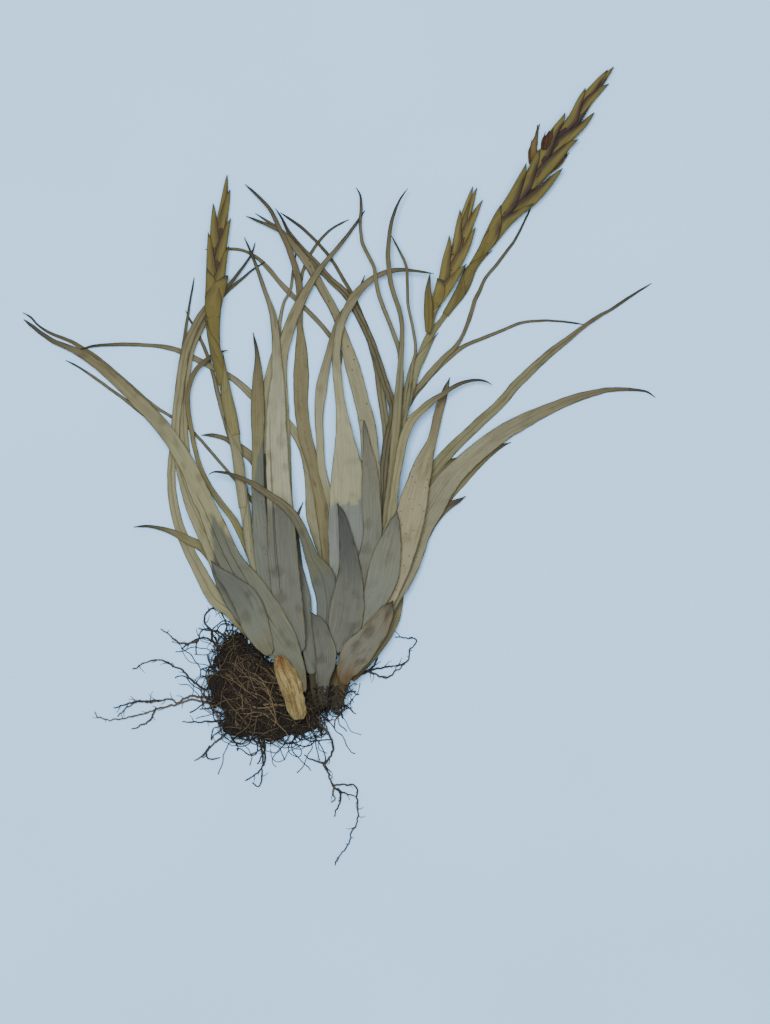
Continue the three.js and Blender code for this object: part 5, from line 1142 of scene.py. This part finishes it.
def floral_bract(skin, axis, tip, size, seed):
    """One keeled bract, folded round the head so that its keel is the outer edge.

    The lowest bracts clasp the stem: they start flush with its neck, below the head.
    """
    near = nearest(axis.p, tip)
    far = axis.run[near]
    lean = np.array(tip) - axis.p[near, :2]
    beside = float(np.dot(lean, axis.side[near]))
    hand = 1.0 if beside >= 0 else -1.0
    ahead = lean - axis.side[near] * beside
    reach = max(abs(beside), 0.6)
    t = np.linspace(0, 1, BRACT_RINGS)
    start = max(0.0, axis.first - 5.0, far - size["length"])
    clasps = start < axis.first
    s = start + (far - start) * t
    slim = 1 - 0.3 * far / axis.length
    wide = size["wide"] * slim
    below = (far - s) / slim
    neck_run, neck_half, neck_tall, neck_middle = size["neck"]
    begun = ease(s, start, start + 3)
    base = np.interp(s - axis.first, neck_run, neck_half) - 0.1 + 0.2 * begun
    if clasps:
        spread = np.clip((s - axis.first + 2) / (far - axis.first + 2), 0, 1)
        outer = base + (reach - base) * spread
    else:
        outer = reach * (1 - 0.62 * (1 - t) ** 2.2)
    blade = wide * np.interp(below, *BRACT_WIDTH)
    inner = np.maximum(outer - blade, -1.3 * slim)
    if clasps:
        wrap = 1 - ease(s, axis.first + 1, axis.first + 15)
        inner = inner * (1 - wrap) - base * wrap
    centred = 1 - ease(abs(beside), 1.2, 2.8)
    outer = outer * (1 - centred) + (abs(beside) * t + blade * 0.5) * centred
    inner = inner * (1 - centred) + (outer - blade) * centred
    xy, left, low = axis.place(s)
    xy = xy + np.outer(ease(t, 0.6, 1.0), ahead)
    tall = size["tall"] * (1 - 0.42 * s / axis.length) * np.interp(below, *BRACT_HEIGHT)
    middle = low + tall / 2 + 0.05
    if clasps:
        grown = ease(s, axis.first - 1, axis.first + 8)
        foot = np.interp(s - axis.first, neck_run, neck_tall) - 0.15 + 0.3 * begun
        tall = foot * (1 - grown) + tall * grown
        flush = np.interp(s - axis.first, neck_run, neck_middle)
        middle = flush * (1 - grown) + middle * grown
    plum = ease(below, 3.0, 8.0)
    if clasps:
        plum = plum * ease(s, axis.first + 1, axis.first + 7)
    out = left * hand
    turn = -1 if hand > 0 else 1
    v = np.linspace(1, 0, BRACT_CROSS)
    bulge = np.sqrt(1 - (1 - np.clip(v / 0.75, 0, 1)) ** 2)
    rings, lanes, tints = [], [], []
    for i in range(BRACT_RINGS):
        off = outer[i] + (inner[i] - outer[i]) * v
        deep = np.maximum(off - BRACT_SHELL * (1 - v), inner[i])
        ripple = 0.07 * v * noise.noise(Vector((s[i] / 4.0, seed, 1.0)))
        half = tall[i] / 2 * (0.12 + 0.88 * bulge) + ripple
        thin = np.maximum(half - BRACT_SHELL, 0.03)
        face = xy[i] + out[i] * off[:, None]
        hollow = xy[i] + out[i] * deep[:, None]
        ring = np.concatenate([
            np.column_stack([face, middle[i] + half]),
            np.column_stack([face, middle[i] - half])[::-1],
            np.column_stack([hollow, middle[i] - thin]),
            np.column_stack([hollow, middle[i] + thin])[::-1],
        ])
        # distance from the edges, which sets the dark margins; along the inner edge they are partly
        # painted shade
        edge = (outer[i] - inner[i]) * np.minimum(1 - v, v + 0.14)
        lane = np.column_stack([np.full(BRACT_CROSS, s[i]), off, edge])
        tint = bract_tint(size, s[i], below[i], plum[i], v, seed)
        rings.append(ring[::turn])
        lanes.append(np.concatenate([lane, lane[::-1]] * 2)[::turn])
        tints.append(np.concatenate([tint, tint[::-1]] * 2)[::turn])
    skin.loft(np.array(rings), np.array(lanes), np.array(tints))


SHEATH_RINGS, SHEATH_CROSS = 26, 13
SHEATH_SHELL = 0.22  # thickness
# How far a sheath goes round, in radians to either side, and how far it stands off the stem
SHEATH_SPREAD = ([0, 0.35, 0.7, 0.92, 1], [2.75, 2.4, 1.35, 0.5, 0.06])
SHEATH_STAND = ([0, 0.6, 1], [0.12, 0.2, 0.55])


def stem_sheath(skin, line, low, tall, start, length, hand, colour):
    """A sheathing bract wrapped round a stem, open along one side and running out to a point."""
    run = run_along(line)
    t = np.linspace(0, 1, SHEATH_RINGS)
    s = np.clip(start + length * t, 0, run[-1])
    side = sideways(line)
    columns = (*line.T, *side.T, low, tall)
    x, y, w, left_x, left_y, floor, height = (np.interp(s, run, values) for values in columns)
    left = np.column_stack([left_x, left_y])
    left /= np.linalg.norm(left, axis=1, keepdims=True)
    spread = np.interp(t, *SHEATH_SPREAD)
    middle = np.pi / 2 - hand * (np.pi / 2) * ease(t, 0.1, 0.9)
    stand = np.interp(t, *SHEATH_STAND)
    share = np.linspace(-1, 1, SHEATH_CROSS)
    rings, lanes, tints = [], [], []
    for i in range(SHEATH_RINGS):
        a = np.clip(middle[i] + spread[i] * share, -0.9, np.pi + 0.9)
        path = []
        for extra in (stand[i] + SHEATH_SHELL, stand[i]):
            off = np.cos(a) * (w[i] / 2 + extra)
            up = floor[i] + height[i] / 2 + np.sin(a) * (height[i] / 2 + min(extra, 0.45))
            up = np.maximum(up, floor[i] + 0.02)
            path.append(np.column_stack([x[i] + left[i, 0] * off, y[i] + left[i, 1] * off, up]))
        rings.append(np.concatenate([path[0], path[1][::-1]]))
        width = w[i] * spread[i] / 2
        edge = width * (1 - np.abs(share)) * 0.8
        lane = np.column_stack([np.full(SHEATH_CROSS, s[i]), share * width, edge])
        lanes.append(np.concatenate([lane, lane[::-1]]))
        tint = shade(colour, colour * 0.8, ease(t[i], 0.0, 1.0) * np.full(SHEATH_CROSS, 0.6))
        tint = shade(tint, HEAD_TIP, ease(t[i], 0.8, 1.0) * np.full(SHEATH_CROSS, 0.8))
        tints.append(np.concatenate([tint, tint[::-1]]))
    skin.loft(np.array(rings), np.array(lanes), np.array(tints))


STEM_STEP = 1.2  # spacing of the rings of a stem
STEM_SIDES, HEAD_SIDES = 18, 14
STEM_LIFT = 0.12  # of a fine stem over the underside of its solid


def stem(plan, sheaths, colour, head_colour, seed):
    """A stem with its sheathing bracts; gives what the flower head on it starts from."""
    axis = Axis(plan["scape"], plan["scape_name"])
    count = int(axis.length / STEM_STEP) + 2
    p, _ = stations(plan["scape"], count)
    u = np.linspace(0, 1, count)
    low = np.interp(u * axis.length, axis.run, axis.low) + STEM_LIFT
    tall = p[:, 2] * 0.62 - 0.2
    thin = p.copy()
    thin[:, 2] -= 0.5 * (1 - ease(u * axis.length, axis.length - 12, axis.length))
    skin = Skin()
    tone = shade(colour, head_colour, ease(u, 0.3, 0.95))
    tint = np.broadcast_to(tone[:, None, :], (count, STEM_SIDES, 3))
    rod(skin, thin, low, tall, STEM_SIDES, tint, seed, 0.05)
    for i, (start, length) in enumerate(sheaths):
        halfway = min(count - 1, int((start + length * 0.5) / axis.length * count))
        here = tone[halfway] * (0.95 + 0.06 * (i % 3))
        stem_sheath(skin, thin, low, tall, start, length, 1 if i % 2 else -1, here)
    name = plan["scape_name"]
    material = leaf_material(
        name, seed, margin=0.4, edge_dark_and_shade=0.5, streaks=0.22, mottle=0.7, spots=0.35,
    )
    skin.build(name, material)
    return u * axis.length - axis.length, thin[:, 2] / 2, tall, low + tall / 2


def flower_head(plan, neck, colour, seed):
    """A flower head: its core, its bracts from the tip down, and what is left of its petals."""
    head = Axis(plan["axis"], plan["head_name"], [point[:2] for point in plan["scape"][-2:-1]])
    size = {**plan, "neck": neck, "colour": colour}
    _, neck_half, neck_tall, _ = neck
    skin = Skin()
    s = np.linspace(head.first + 4.0, head.length * 0.93, 60)
    u = (s - head.first) / (head.length - head.first)
    xy, _, low = head.place(s)
    widths = [neck_half[-1] * 1.4, plan["wide"], plan["wide"] * 0.7, 0.4]
    girth = np.interp(u, [0, 0.15, 0.6, 0.93], widths)
    high = np.interp(u, [0, 0.6, 0.93], [neck_tall[-1] * 0.6, plan["tall"] * 0.45, 0.4])
    # the core shows only in gaps between the bracts; its purple is mixed with a darkened head
    # colour that paints the shade in those gaps
    core = shade(colour * 0.6, PLUM, plan["plum"])
    rod(skin, np.column_stack([xy, girth]), low + 0.35, high, HEAD_SIDES, core, seed + 9, 0.1)
    tips = sorted(plan["tips"], key=lambda tip: -nearest(head.p, tip))
    for i, tip in enumerate(tips):
        floral_bract(skin, head, tip, size, seed + i)
    for i, (course, width) in enumerate(plan["petals"]):
        near = [nearest(head.p, spot) for spot in stations(course, PETAL_RINGS)[0]]
        low = head.low[near] + plan["tall"] * 0.5
        petal(skin, course, low, width, PETAL * 0.7, seed + 60 + i)
    name = plan["head_name"]
    material = leaf_material(
        name, seed + 1, margin=0.42, edge_dark_and_shade=0.85, streaks=0.2, mottle=0.45, spots=0.2,
    )
    skin.build(name, material)


# Roots, stump and flowers


ROOT_STEP = 0.7  # spacing of the rings of a loose root
ROOT_THICK = 0.95  # at its start
KINK = 0.55  # how far a root strays from its course
STRAND_STEP = 0.8  # spacing of the rings of a strand in the mat
MAT_MIDDLE = np.array([-27.0, -88.0])
MAT_RIM = 2.2  # height of the mat just inside its edge
MAT_DOME = MAT_HEIGHT - 4.2  # how far its middle rises above the rim
MAT_SHOULDER = 13  # distance from the edge at which the mat is full
CORE_BANDS, CORE_SPOKES = 16, 96
STRAND = {
    "steps": (10, 30), "bend": 0.07, "crook": 0.55, "lift": (-1.0, 0.75), "thick": (0.11, 0.27),
}
PALE_STRAND = {
    "steps": (12, 26), "bend": 0.03, "crook": 0.3, "lift": (0.0, 0.9), "thick": (0.13, 0.24),
    "x": (-47, -24), "y": (-95, -74),
}
FIBRE = {"x": (-10.5, 4.0), "y": (-93.5, -84), "steps": (5, 10), "step": 0.6, "thick": (0.1, 0.24)}
STUMP_RINGS, STUMP_SIDES, STUMP_FIBRES = 70, 48, 64
PETAL_RINGS = 26


def tube(skin, line, radius, sides, tint, seed):
    """A wiry strand along a line in space."""
    tangent = np.gradient(line, axis=0)
    tangent /= np.maximum(np.linalg.norm(tangent, axis=1, keepdims=True), 1e-9)
    left = np.column_stack([-tangent[:, 1], tangent[:, 0], np.zeros(len(line))])
    left /= np.maximum(np.linalg.norm(left, axis=1, keepdims=True), 1e-6)
    up = np.cross(tangent, left)
    a = 2 * np.pi * np.arange(sides) / sides + 0.3
    ring = left[:, None, :] * np.cos(a)[None, :, None] + up[:, None, :] * np.sin(a)[None, :, None]
    rings = line[:, None, :] + ring * radius[:, None, None]
    steps = np.linalg.norm(np.diff(line, axis=0), axis=1)
    run = np.concatenate([[0], np.cumsum(steps)]) + seed * 3.1
    along = np.broadcast_to(run[:, None], rings.shape[:2])
    lane = np.stack([along, a * radius[:, None] * 2, np.ones(along.shape)], 2)
    skin.loft(rings, lane, np.broadcast_to(np.asarray(tint), rings.shape))


def crinkled(course, seed):
    """A root's course with the small kinks of a dried root."""
    count = max(6, int(length_of(course) / ROOT_STEP))
    p, length = stations(course, count)
    s = np.linspace(0, length, count)
    kink = KINK * (wander(s, seed, 1.7) + 0.6 * wander(s, seed + 40, 0.8)) * ease(s, 0, 2.0)
    kink *= 1 - ease(s, length - 1.5, length)
    return p[:, :2] + sideways(p) * kink[:, None], s, length


def spray(skin, course, seed, rest, draw):
    """One root with kinks and short side rootlets, lying on what rest(x, y) gives."""
    xy, s, length = crinkled(course, seed)
    high = 0.25 + 0.3 * np.abs(wander(s, seed + 3, 4.0))
    z = np.array([rest(x, y) for x, y in xy]) + ROOT_THICK / 2 + high
    radius = ROOT_THICK / 2 * (1 - 0.55 * s / length) * (1 + 0.3 * wander(s, seed + 5, 1.1))
    tint = shade(ROOT, ROOT_PALE, draw.random() ** 2 * 0.5)
    tube(skin, np.column_stack([xy, z]), np.maximum(radius, 0.1), 6, tint, seed)
    ahead = np.gradient(xy, axis=0)
    k = int(4 / ROOT_STEP)
    while k < len(s) - 3:
        heading = math.atan2(ahead[k, 1], ahead[k, 0])
        heading += draw.choice((-1, 1)) * draw.uniform(0.5, 1.2)
        reach = draw.uniform(1.2, 4.2)
        turn = draw.uniform(-0.5, 0.5)
        bits = [np.array([xy[k, 0], xy[k, 1], z[k]])]
        for _ in range(6):
            heading += turn * 0.4 + draw.uniform(-0.35, 0.35)
            x, y, last = bits[-1]
            x, y = x + math.cos(heading) * reach / 6, y + math.sin(heading) * reach / 6
            bits.append(np.array([x, y, max(rest(x, y) + 0.15, last - 0.12)]))
        tube(skin, np.array(bits), np.linspace(0.17, 0.07, len(bits)), 4, tint * 1.1, seed + k)
        k += int(draw.uniform(2.0, 7.0) / ROOT_STEP) + 1


def inside_mat(x, y):
    """Distance to the mat's edge, or 0 outside it."""
    edge, inside = 1e9, False
    outline = MASS_OUTLINE
    for (ax, ay), (bx, by) in zip([outline[-1]] + outline[:-1], outline):
        if (ay > y) != (by > y) and x < (bx - ax) * (y - ay) / (by - ay) + ax:
            inside = not inside
        square = (bx - ax) ** 2 + (by - ay) ** 2
        t = min(1, max(0, ((x - ax) * (bx - ax) + (y - ay) * (by - ay)) / square))
        edge = min(edge, math.hypot(x - ax - (bx - ax) * t, y - ay - (by - ay) * t))
    return edge if inside else 0.0


def mat_height(x, y):
    """Height of the root mat's dome over a spot."""
    edge = inside_mat(x, y)
    if edge == 0:
        return 0.0
    west = min(1, max(0, (-12 - x) / 14))
    dome = math.sin(min(1, edge / MAT_SHOULDER) * math.pi / 2)
    stump = min(math.hypot(x - a, y - b) for a, b in STUMP)
    hollow = min(1, max(0.3, (stump - 3) / 8))
    return MAT_RIM + MAT_DOME * dome * (0.35 + 0.65 * west) * hollow


def mat_core(skin):
    """The dark tangle in the middle of the mat, under its strands, painted darker than the roots as
    the shade deep in the mat.
    """
    ring = stations([*MASS_OUTLINE, MASS_OUTLINE[0]], CORE_SPOKES + 1)[0][:-1]
    bands, n = CORE_BANDS, CORE_SPOKES
    co, faces = [], []
    for b in range(bands + 1):
        for x, y in ring:
            t = (b / bands) ** 0.8 * (0.86 + 0.07 * noise.noise(Vector((x / 5.0, y / 5.0, 8.0))))
            px, py = MAT_MIDDLE + (np.array([x, y]) - MAT_MIDDLE) * t
            rag = noise.noise(Vector((px / 1.6, py / 1.6, 3.0))) * 0.9
            co.append((px, py, max(0.5, mat_height(px, py) - 1.6 + rag)))
    for b in range(bands):
        for k in range(n):
            m = (k + 1) % n
            faces.append((b * n + k, (b + 1) * n + k, (b + 1) * n + m, b * n + m))
    foot = len(co)
    co += [(x, y, 0.1) for x, y, _ in co[bands * n:]]
    for k in range(n):
        m = (k + 1) % n
        faces.append((bands * n + k, foot + k, foot + m, bands * n + m))
    faces.append(tuple(foot + k for k in range(n - 1, -1, -1)))
    co = np.array(co)
    lane = np.column_stack([co[:, 0], co[:, 1], np.ones(len(co))])
    # darker than any root: the tangle's own brown with painted shade deep in the mat
    skin.add(co, lane, np.broadcast_to(ROOT * 0.55, co.shape), faces)


def foot_fibres(skin, draw):
    """Short torn roots over the broken feet of the old leaf bases."""
    bases = (
        "right_old_base_outer", "right_old_base_inner", "between_bract", "leaf_right_old_sheath",
    )
    trees = [tree_of(name) for name in (*bases, "root_mass")]
    for i in range(FOOT_FIBRES):
        x, y = draw.uniform(*FIBRE["x"]), draw.uniform(*FIBRE["y"])
        heading = draw.gauss(-1.5, 0.7)
        line = []
        for _ in range(draw.randint(*FIBRE["steps"])):
            line.append((x, y, top_of(trees, x, y) + 0.25))
            heading += draw.uniform(-0.6, 0.6)
            x += math.cos(heading) * FIBRE["step"]
            y += math.sin(heading) * FIBRE["step"]
        line = np.array(line)
        taut = np.interp(np.arange(len(line)), [0, len(line) - 1], line[[0, -1], 2])
        line[:, 2] = np.maximum(line[:, 2], taut)
        tint = shade(ROOT * draw.uniform(0.5, 1.4), ROOT_PALE, 0.35 * draw.random() ** 3)
        tube(skin, line, np.full(len(line), draw.uniform(*FIBRE["thick"])), 4, tint, 900 + i)


def strand_course(draw, pale):
    """A crooked line through the mat, seen from above, or None where it would lie loose."""
    kind = PALE_STRAND if pale else STRAND
    spot = np.array(draw.choice(MASS_OUTLINE))
    x, y = MAT_MIDDLE + (spot - MAT_MIDDLE) * math.sqrt(draw.random())
    if pale:
        x, y = draw.uniform(*kind["x"]), draw.uniform(*kind["y"])
    heading = draw.gauss(-0.6, 0.35) if pale else draw.uniform(0, 2 * math.pi)
    steps = draw.randint(*kind["steps"])
    bend = draw.uniform(-kind["bend"], kind["bend"])
    line = []
    for _ in range(steps):
        line.append((x, y))
        heading += bend + draw.uniform(-kind["crook"], kind["crook"])
        x, y = x + math.cos(heading) * STRAND_STEP, y + math.sin(heading) * STRAND_STEP
    loose = inside_mat(*line[-1]) == 0
    if inside_mat(*line[0]) == 0 or loose and (pale or draw.random() < LOOSE_SHARE):
        return None
    line = np.array(line)
    line[1:-1] = (line[:-2] + line[1:-1] * 2 + line[2:]) / 4
    return line


def root_mat():
    """The mat of roots under the plant, with the roots that leave it."""
    draw = random.Random(5)
    skin = Skin()
    mat_core(skin)
    made = 0
    while made < STRANDS:
        pale = made < PALE_STRANDS
        line = strand_course(draw, pale)
        if line is None:
            continue
        made += 1
        kind = PALE_STRAND if pale else STRAND
        lift = draw.uniform(*kind["lift"])
        run = np.arange(len(line)) * STRAND_STEP
        wave = 0.45 * wander(run, made, 3.0)
        ends = 1.3 * (1 - np.sin(np.linspace(0, np.pi, len(line))) ** 0.4)
        z = np.array([mat_height(a, b) for a, b in line]) + lift + wave - ends
        radius = draw.uniform(*kind["thick"]) * (1 + 0.25 * wander(run, made + 7, 1.5))
        if pale:
            west = ease(-40 - line[0, 0], -12, 8)
            tint = shade(ROOT_PALE, ROOT, draw.random() * 0.35 + 0.3 * west)
        else:
            tint = ROOT * draw.uniform(0.6, 1.3)
            if draw.random() < 0.2:
                tint = shade(ROOT, ROOT_PALE, 0.4)
        line = np.column_stack([line, np.clip(z, 0.3, MAT_HEIGHT + 0.6)])
        tube(skin, line, radius, 5 if pale else 4, tint, made)
    foot_fibres(skin, draw)

    def rest(x, y):
        return max(0.0, min(mat_height(x, y) - 1.2, 1.0))

    for i, course in enumerate(ROOTS.values()):
        spray(skin, course, 200 + i, rest, draw)
    skin.build("root_mass", root_material("root_mass", 4))


def loose_roots(node, courses, seed):
    """A long root with its branches, away from the mat."""
    draw = random.Random(seed)
    skin = Skin()
    corners = solid_points(node)

    def rest(x, y):
        """A little under the solid's corner nearest to the spot."""
        near = np.argmin(np.hypot(corners[:, 0] - x, corners[:, 1] - y))
        return max(0.0, corners[near, 2] - 1.0)

    for i, course in enumerate(courses.values()):
        spray(skin, course, seed + i, rest, draw)
    skin.build(node, root_material(node, seed))


def stump():
    """The dead end of the rhizome: a fibrous, broken stick."""
    draw = random.Random(9)
    skin = Skin()
    course = [(x, y, w - 0.3) for (x, y), w in zip(STUMP, STUMP_WIDTHS)]
    p, length = stations(course, STUMP_RINGS)
    u = np.linspace(0, 1, STUMP_RINGS)
    axis = Axis(course, "rhizome_stump")
    low = np.interp(u * length, axis.run, axis.low) + 0.2
    tall = p[:, 2] * 0.5 - 0.15
    p[:, 2] *= np.interp(u, [0, 0.07, 0.94, 1], [0.55, 1, 1, 0.75])
    grain = patches(u * length, np.arange(STUMP_SIDES), 14.0, 0.42, 2.0)
    tint = shade(WOOD, WOOD_DARK, ease(grain, 0.0, 0.45) * 0.8)
    head = 1 - ease(u, 0.04, 0.3)
    tint = shade(tint, RED_WOOD, np.broadcast_to(head[:, None], grain.shape) * 0.8)
    rod(skin, p, low, tall, STUMP_SIDES, tint, 6, 0.16)
    for i in range(STUMP_FIBRES):
        at = draw.randint(0, STUMP_RINGS - 6)
        part = p[at:at + draw.randint(6, 24)]
        if len(part) < 4:
            continue
        side = sideways(part)
        angle = draw.uniform(0.12, 0.88) * math.pi
        off = math.cos(angle) * part[:, 2] / 2
        here = slice(at, at + len(part))
        height = low[here] + tall[here] / 2 * (1 + math.sin(angle)) + 0.1
        line = np.column_stack([part[:, :2] + side * off[:, None], height])
        tone = shade(WOOD, WOOD_DARK, draw.random())
        tube(skin, line, np.full(len(line), draw.uniform(0.12, 0.26)), 4, tone, i)
    skin.build("rhizome_stump", wood_material("rhizome", 3))


def petal(skin, course, low, width, tint, seed):
    """A thin, shrivelled strip of petal."""
    p, length = stations(course, PETAL_RINGS)
    s = np.linspace(0, length, PETAL_RINGS)
    side = sideways(p)
    half = width / 2 * np.interp(s / length, [0, 0.35, 0.6, 0.8, 1], [0.5, 1.0, 0.9, 0.35, 0.06])
    v = np.linspace(1, -1, 7)
    twist = 0.5 * wander(s, seed, 4.0)
    across = v * half[:, None]
    face = low[:, None] + 0.35 * (v**2) * half[:, None] + v * twist[:, None] * 0.5 + 0.3
    wobble = 0.25 * wander(s, seed + 2, 2.0)
    xy = p[:, None, :2] + side[:, None, :] * (across + wobble[:, None])[:, :, None]
    along = np.broadcast_to(s[:, None], face.shape)
    lane = np.stack([along, across, half[:, None] * (1 - np.abs(v))], 2)
    tone = shade(tint, tint * 0.5, ease(along, length * 0.5, length))
    skin.strip(xy, face + 0.12, face, lane, tone)


PETAL_SHIFTS = (0.1, -1.1, 1.1, -0.5, 0.55)  # of the petals of one flower, sideways


def flower(node, course, seed):
    """A withered flower: crumpled petals with a few stamens."""
    draw = random.Random(seed)
    skin = Skin()
    box_low, box_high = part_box(node)
    low, high = box_low.z / MM, box_high.z / MM
    for i, shift in enumerate(PETAL_SHIFTS):
        line = []
        for x, y, _ in course[:-1] if i % 2 else course:
            x += shift * 0.8 + draw.uniform(-0.2, 0.2)
            line.append((x, y + shift * 0.4 + draw.uniform(-0.3, 0.3)))
        base = np.full(PETAL_RINGS, low + (high - low) * (0.15 + 0.14 * i))
        width = draw.uniform(1.6, 2.4)
        tint = shade(PETAL, HEAD, 0.5 * draw.random()) * draw.uniform(0.6, 1.35)
        petal(skin, line, base, width, tint, seed + i)
    start, end = np.array(course[1][:2]), np.array(course[-1][:2])
    for i in range(4):
        line = [(*start, low + 0.8)]
        for k in range(8):
            x, y = start + (end - start) * (k + 1) / 8
            jog = draw.uniform(-0.2, 0.2), draw.uniform(-0.2, 0.2)
            line.append((x + jog[0], y + jog[1], low + 0.8 + 0.1 * i))
        tube(skin, np.array(line), np.full(9, 0.11), 4, HEAD_TIP, seed + 20 + i)
    material = leaf_material(node, seed, margin=0.3, edge_dark_and_shade=0.5, streaks=0.3, mottle=0.5)
    skin.build(node, material)


# Floor, light and camera


FLOOR_SIZE, FLOOR_DROP = 4.0, 0.0002  # metres


def make_stage():
    """Pale floor, even daylight with two soft lamps, and a camera that looks straight down."""
    bpy.ops.mesh.primitive_plane_add(size=FLOOR_SIZE, location=(0, 0, -FLOOR_DROP))
    floor = bpy.context.object
    floor.name = "floor"
    floor.data.materials.append(floor_material())
    world = bpy.data.worlds.new("studio")
    bpy.context.scene.world = world
    world.use_nodes = True
    sky = world.node_tree.nodes["Background"]
    sky.inputs["Color"].default_value = (*DAYLIGHT, 1.0)
    sky.inputs["Strength"].default_value = SKY
    for name, (place, size, power) in LAMPS.items():
        data = bpy.data.lights.new(name, "AREA")
        data.shape = "DISK"
        data.size = size
        data.energy = power
        data.color = DAYLIGHT
        lamp = bpy.data.objects.new(name, data)
        lamp.location = place
        lamp.rotation_euler = (-Vector(place)).to_track_quat("-Z", "Y").to_euler()
        bpy.context.scene.collection.objects.link(lamp)
    lens = bpy.data.cameras.new("camera")
    lens.sensor_width = SENSOR
    lens.lens = SENSOR * CAMERA_HEIGHT / (PHOTO[1] / SCALE * MM)
    lens.clip_end = 20.0
    camera = bpy.data.objects.new("camera", lens)
    x = (PHOTO[0] / 2 - ORIGIN[0]) / SCALE - CENTRE[0]
    y = (ORIGIN[1] - PHOTO[1] / 2) / SCALE - CENTRE[1]
    camera.location = (x * MM, y * MM, CAMERA_HEIGHT + PLANT_HEIGHT)
    bpy.context.scene.collection.objects.link(camera)
    bpy.context.scene.camera = camera


# Building


def seed_of(name):
    """A small number that belongs to a name."""
    return sum(ord(c) * (i + 3) for i, c in enumerate(name)) % 97 + 1


for name, course in {**LOWER_LEAVES, **UPPER_LEAVES}.items():
    look = {**LOOK, **LEAF_LOOKS.get(name, {"base": BROWN})}
    leaf(name, course, look, seed_of(name))

STEM_PLANS = [  # stem, start and length of its sheaths, colour, head colour, seed
    (STEM_LEFT, [(4, 34), (30, 36), (58, 32), (78, 26)], SCAPE, HEAD * 1.1, 11),
    (STEM_RIGHT, [(6, 34), (34, 34), (52, 27), (86, 20), (95, 22)], SCAPE, HEAD * 1.04, 23),
    (STEM_SIDE, [(1, 9)], SCAPE, HEAD * 1.22, 37),
]
for plan, sheaths, colour, head_colour, seed in STEM_PLANS:
    neck = stem(plan, sheaths, colour, head_colour, seed)
    flower_head(plan, neck, head_colour, seed)

look = {**LOOK, "base": HEAD, "groove_shade": 0.4, "tip_from": 0.7, "mottle": 0.5}
leaf("bract_lateral", LATERAL_BRACT, look, 41)
for i, (name, course) in enumerate(FLOWERS.items()):
    flower(name, course, 51 + i)
stump()
root_mat()
loose_roots("root_long", ROOT_LONG, 61)
loose_roots("root_loop", ROOT_LOOP, 67)

make_stage()
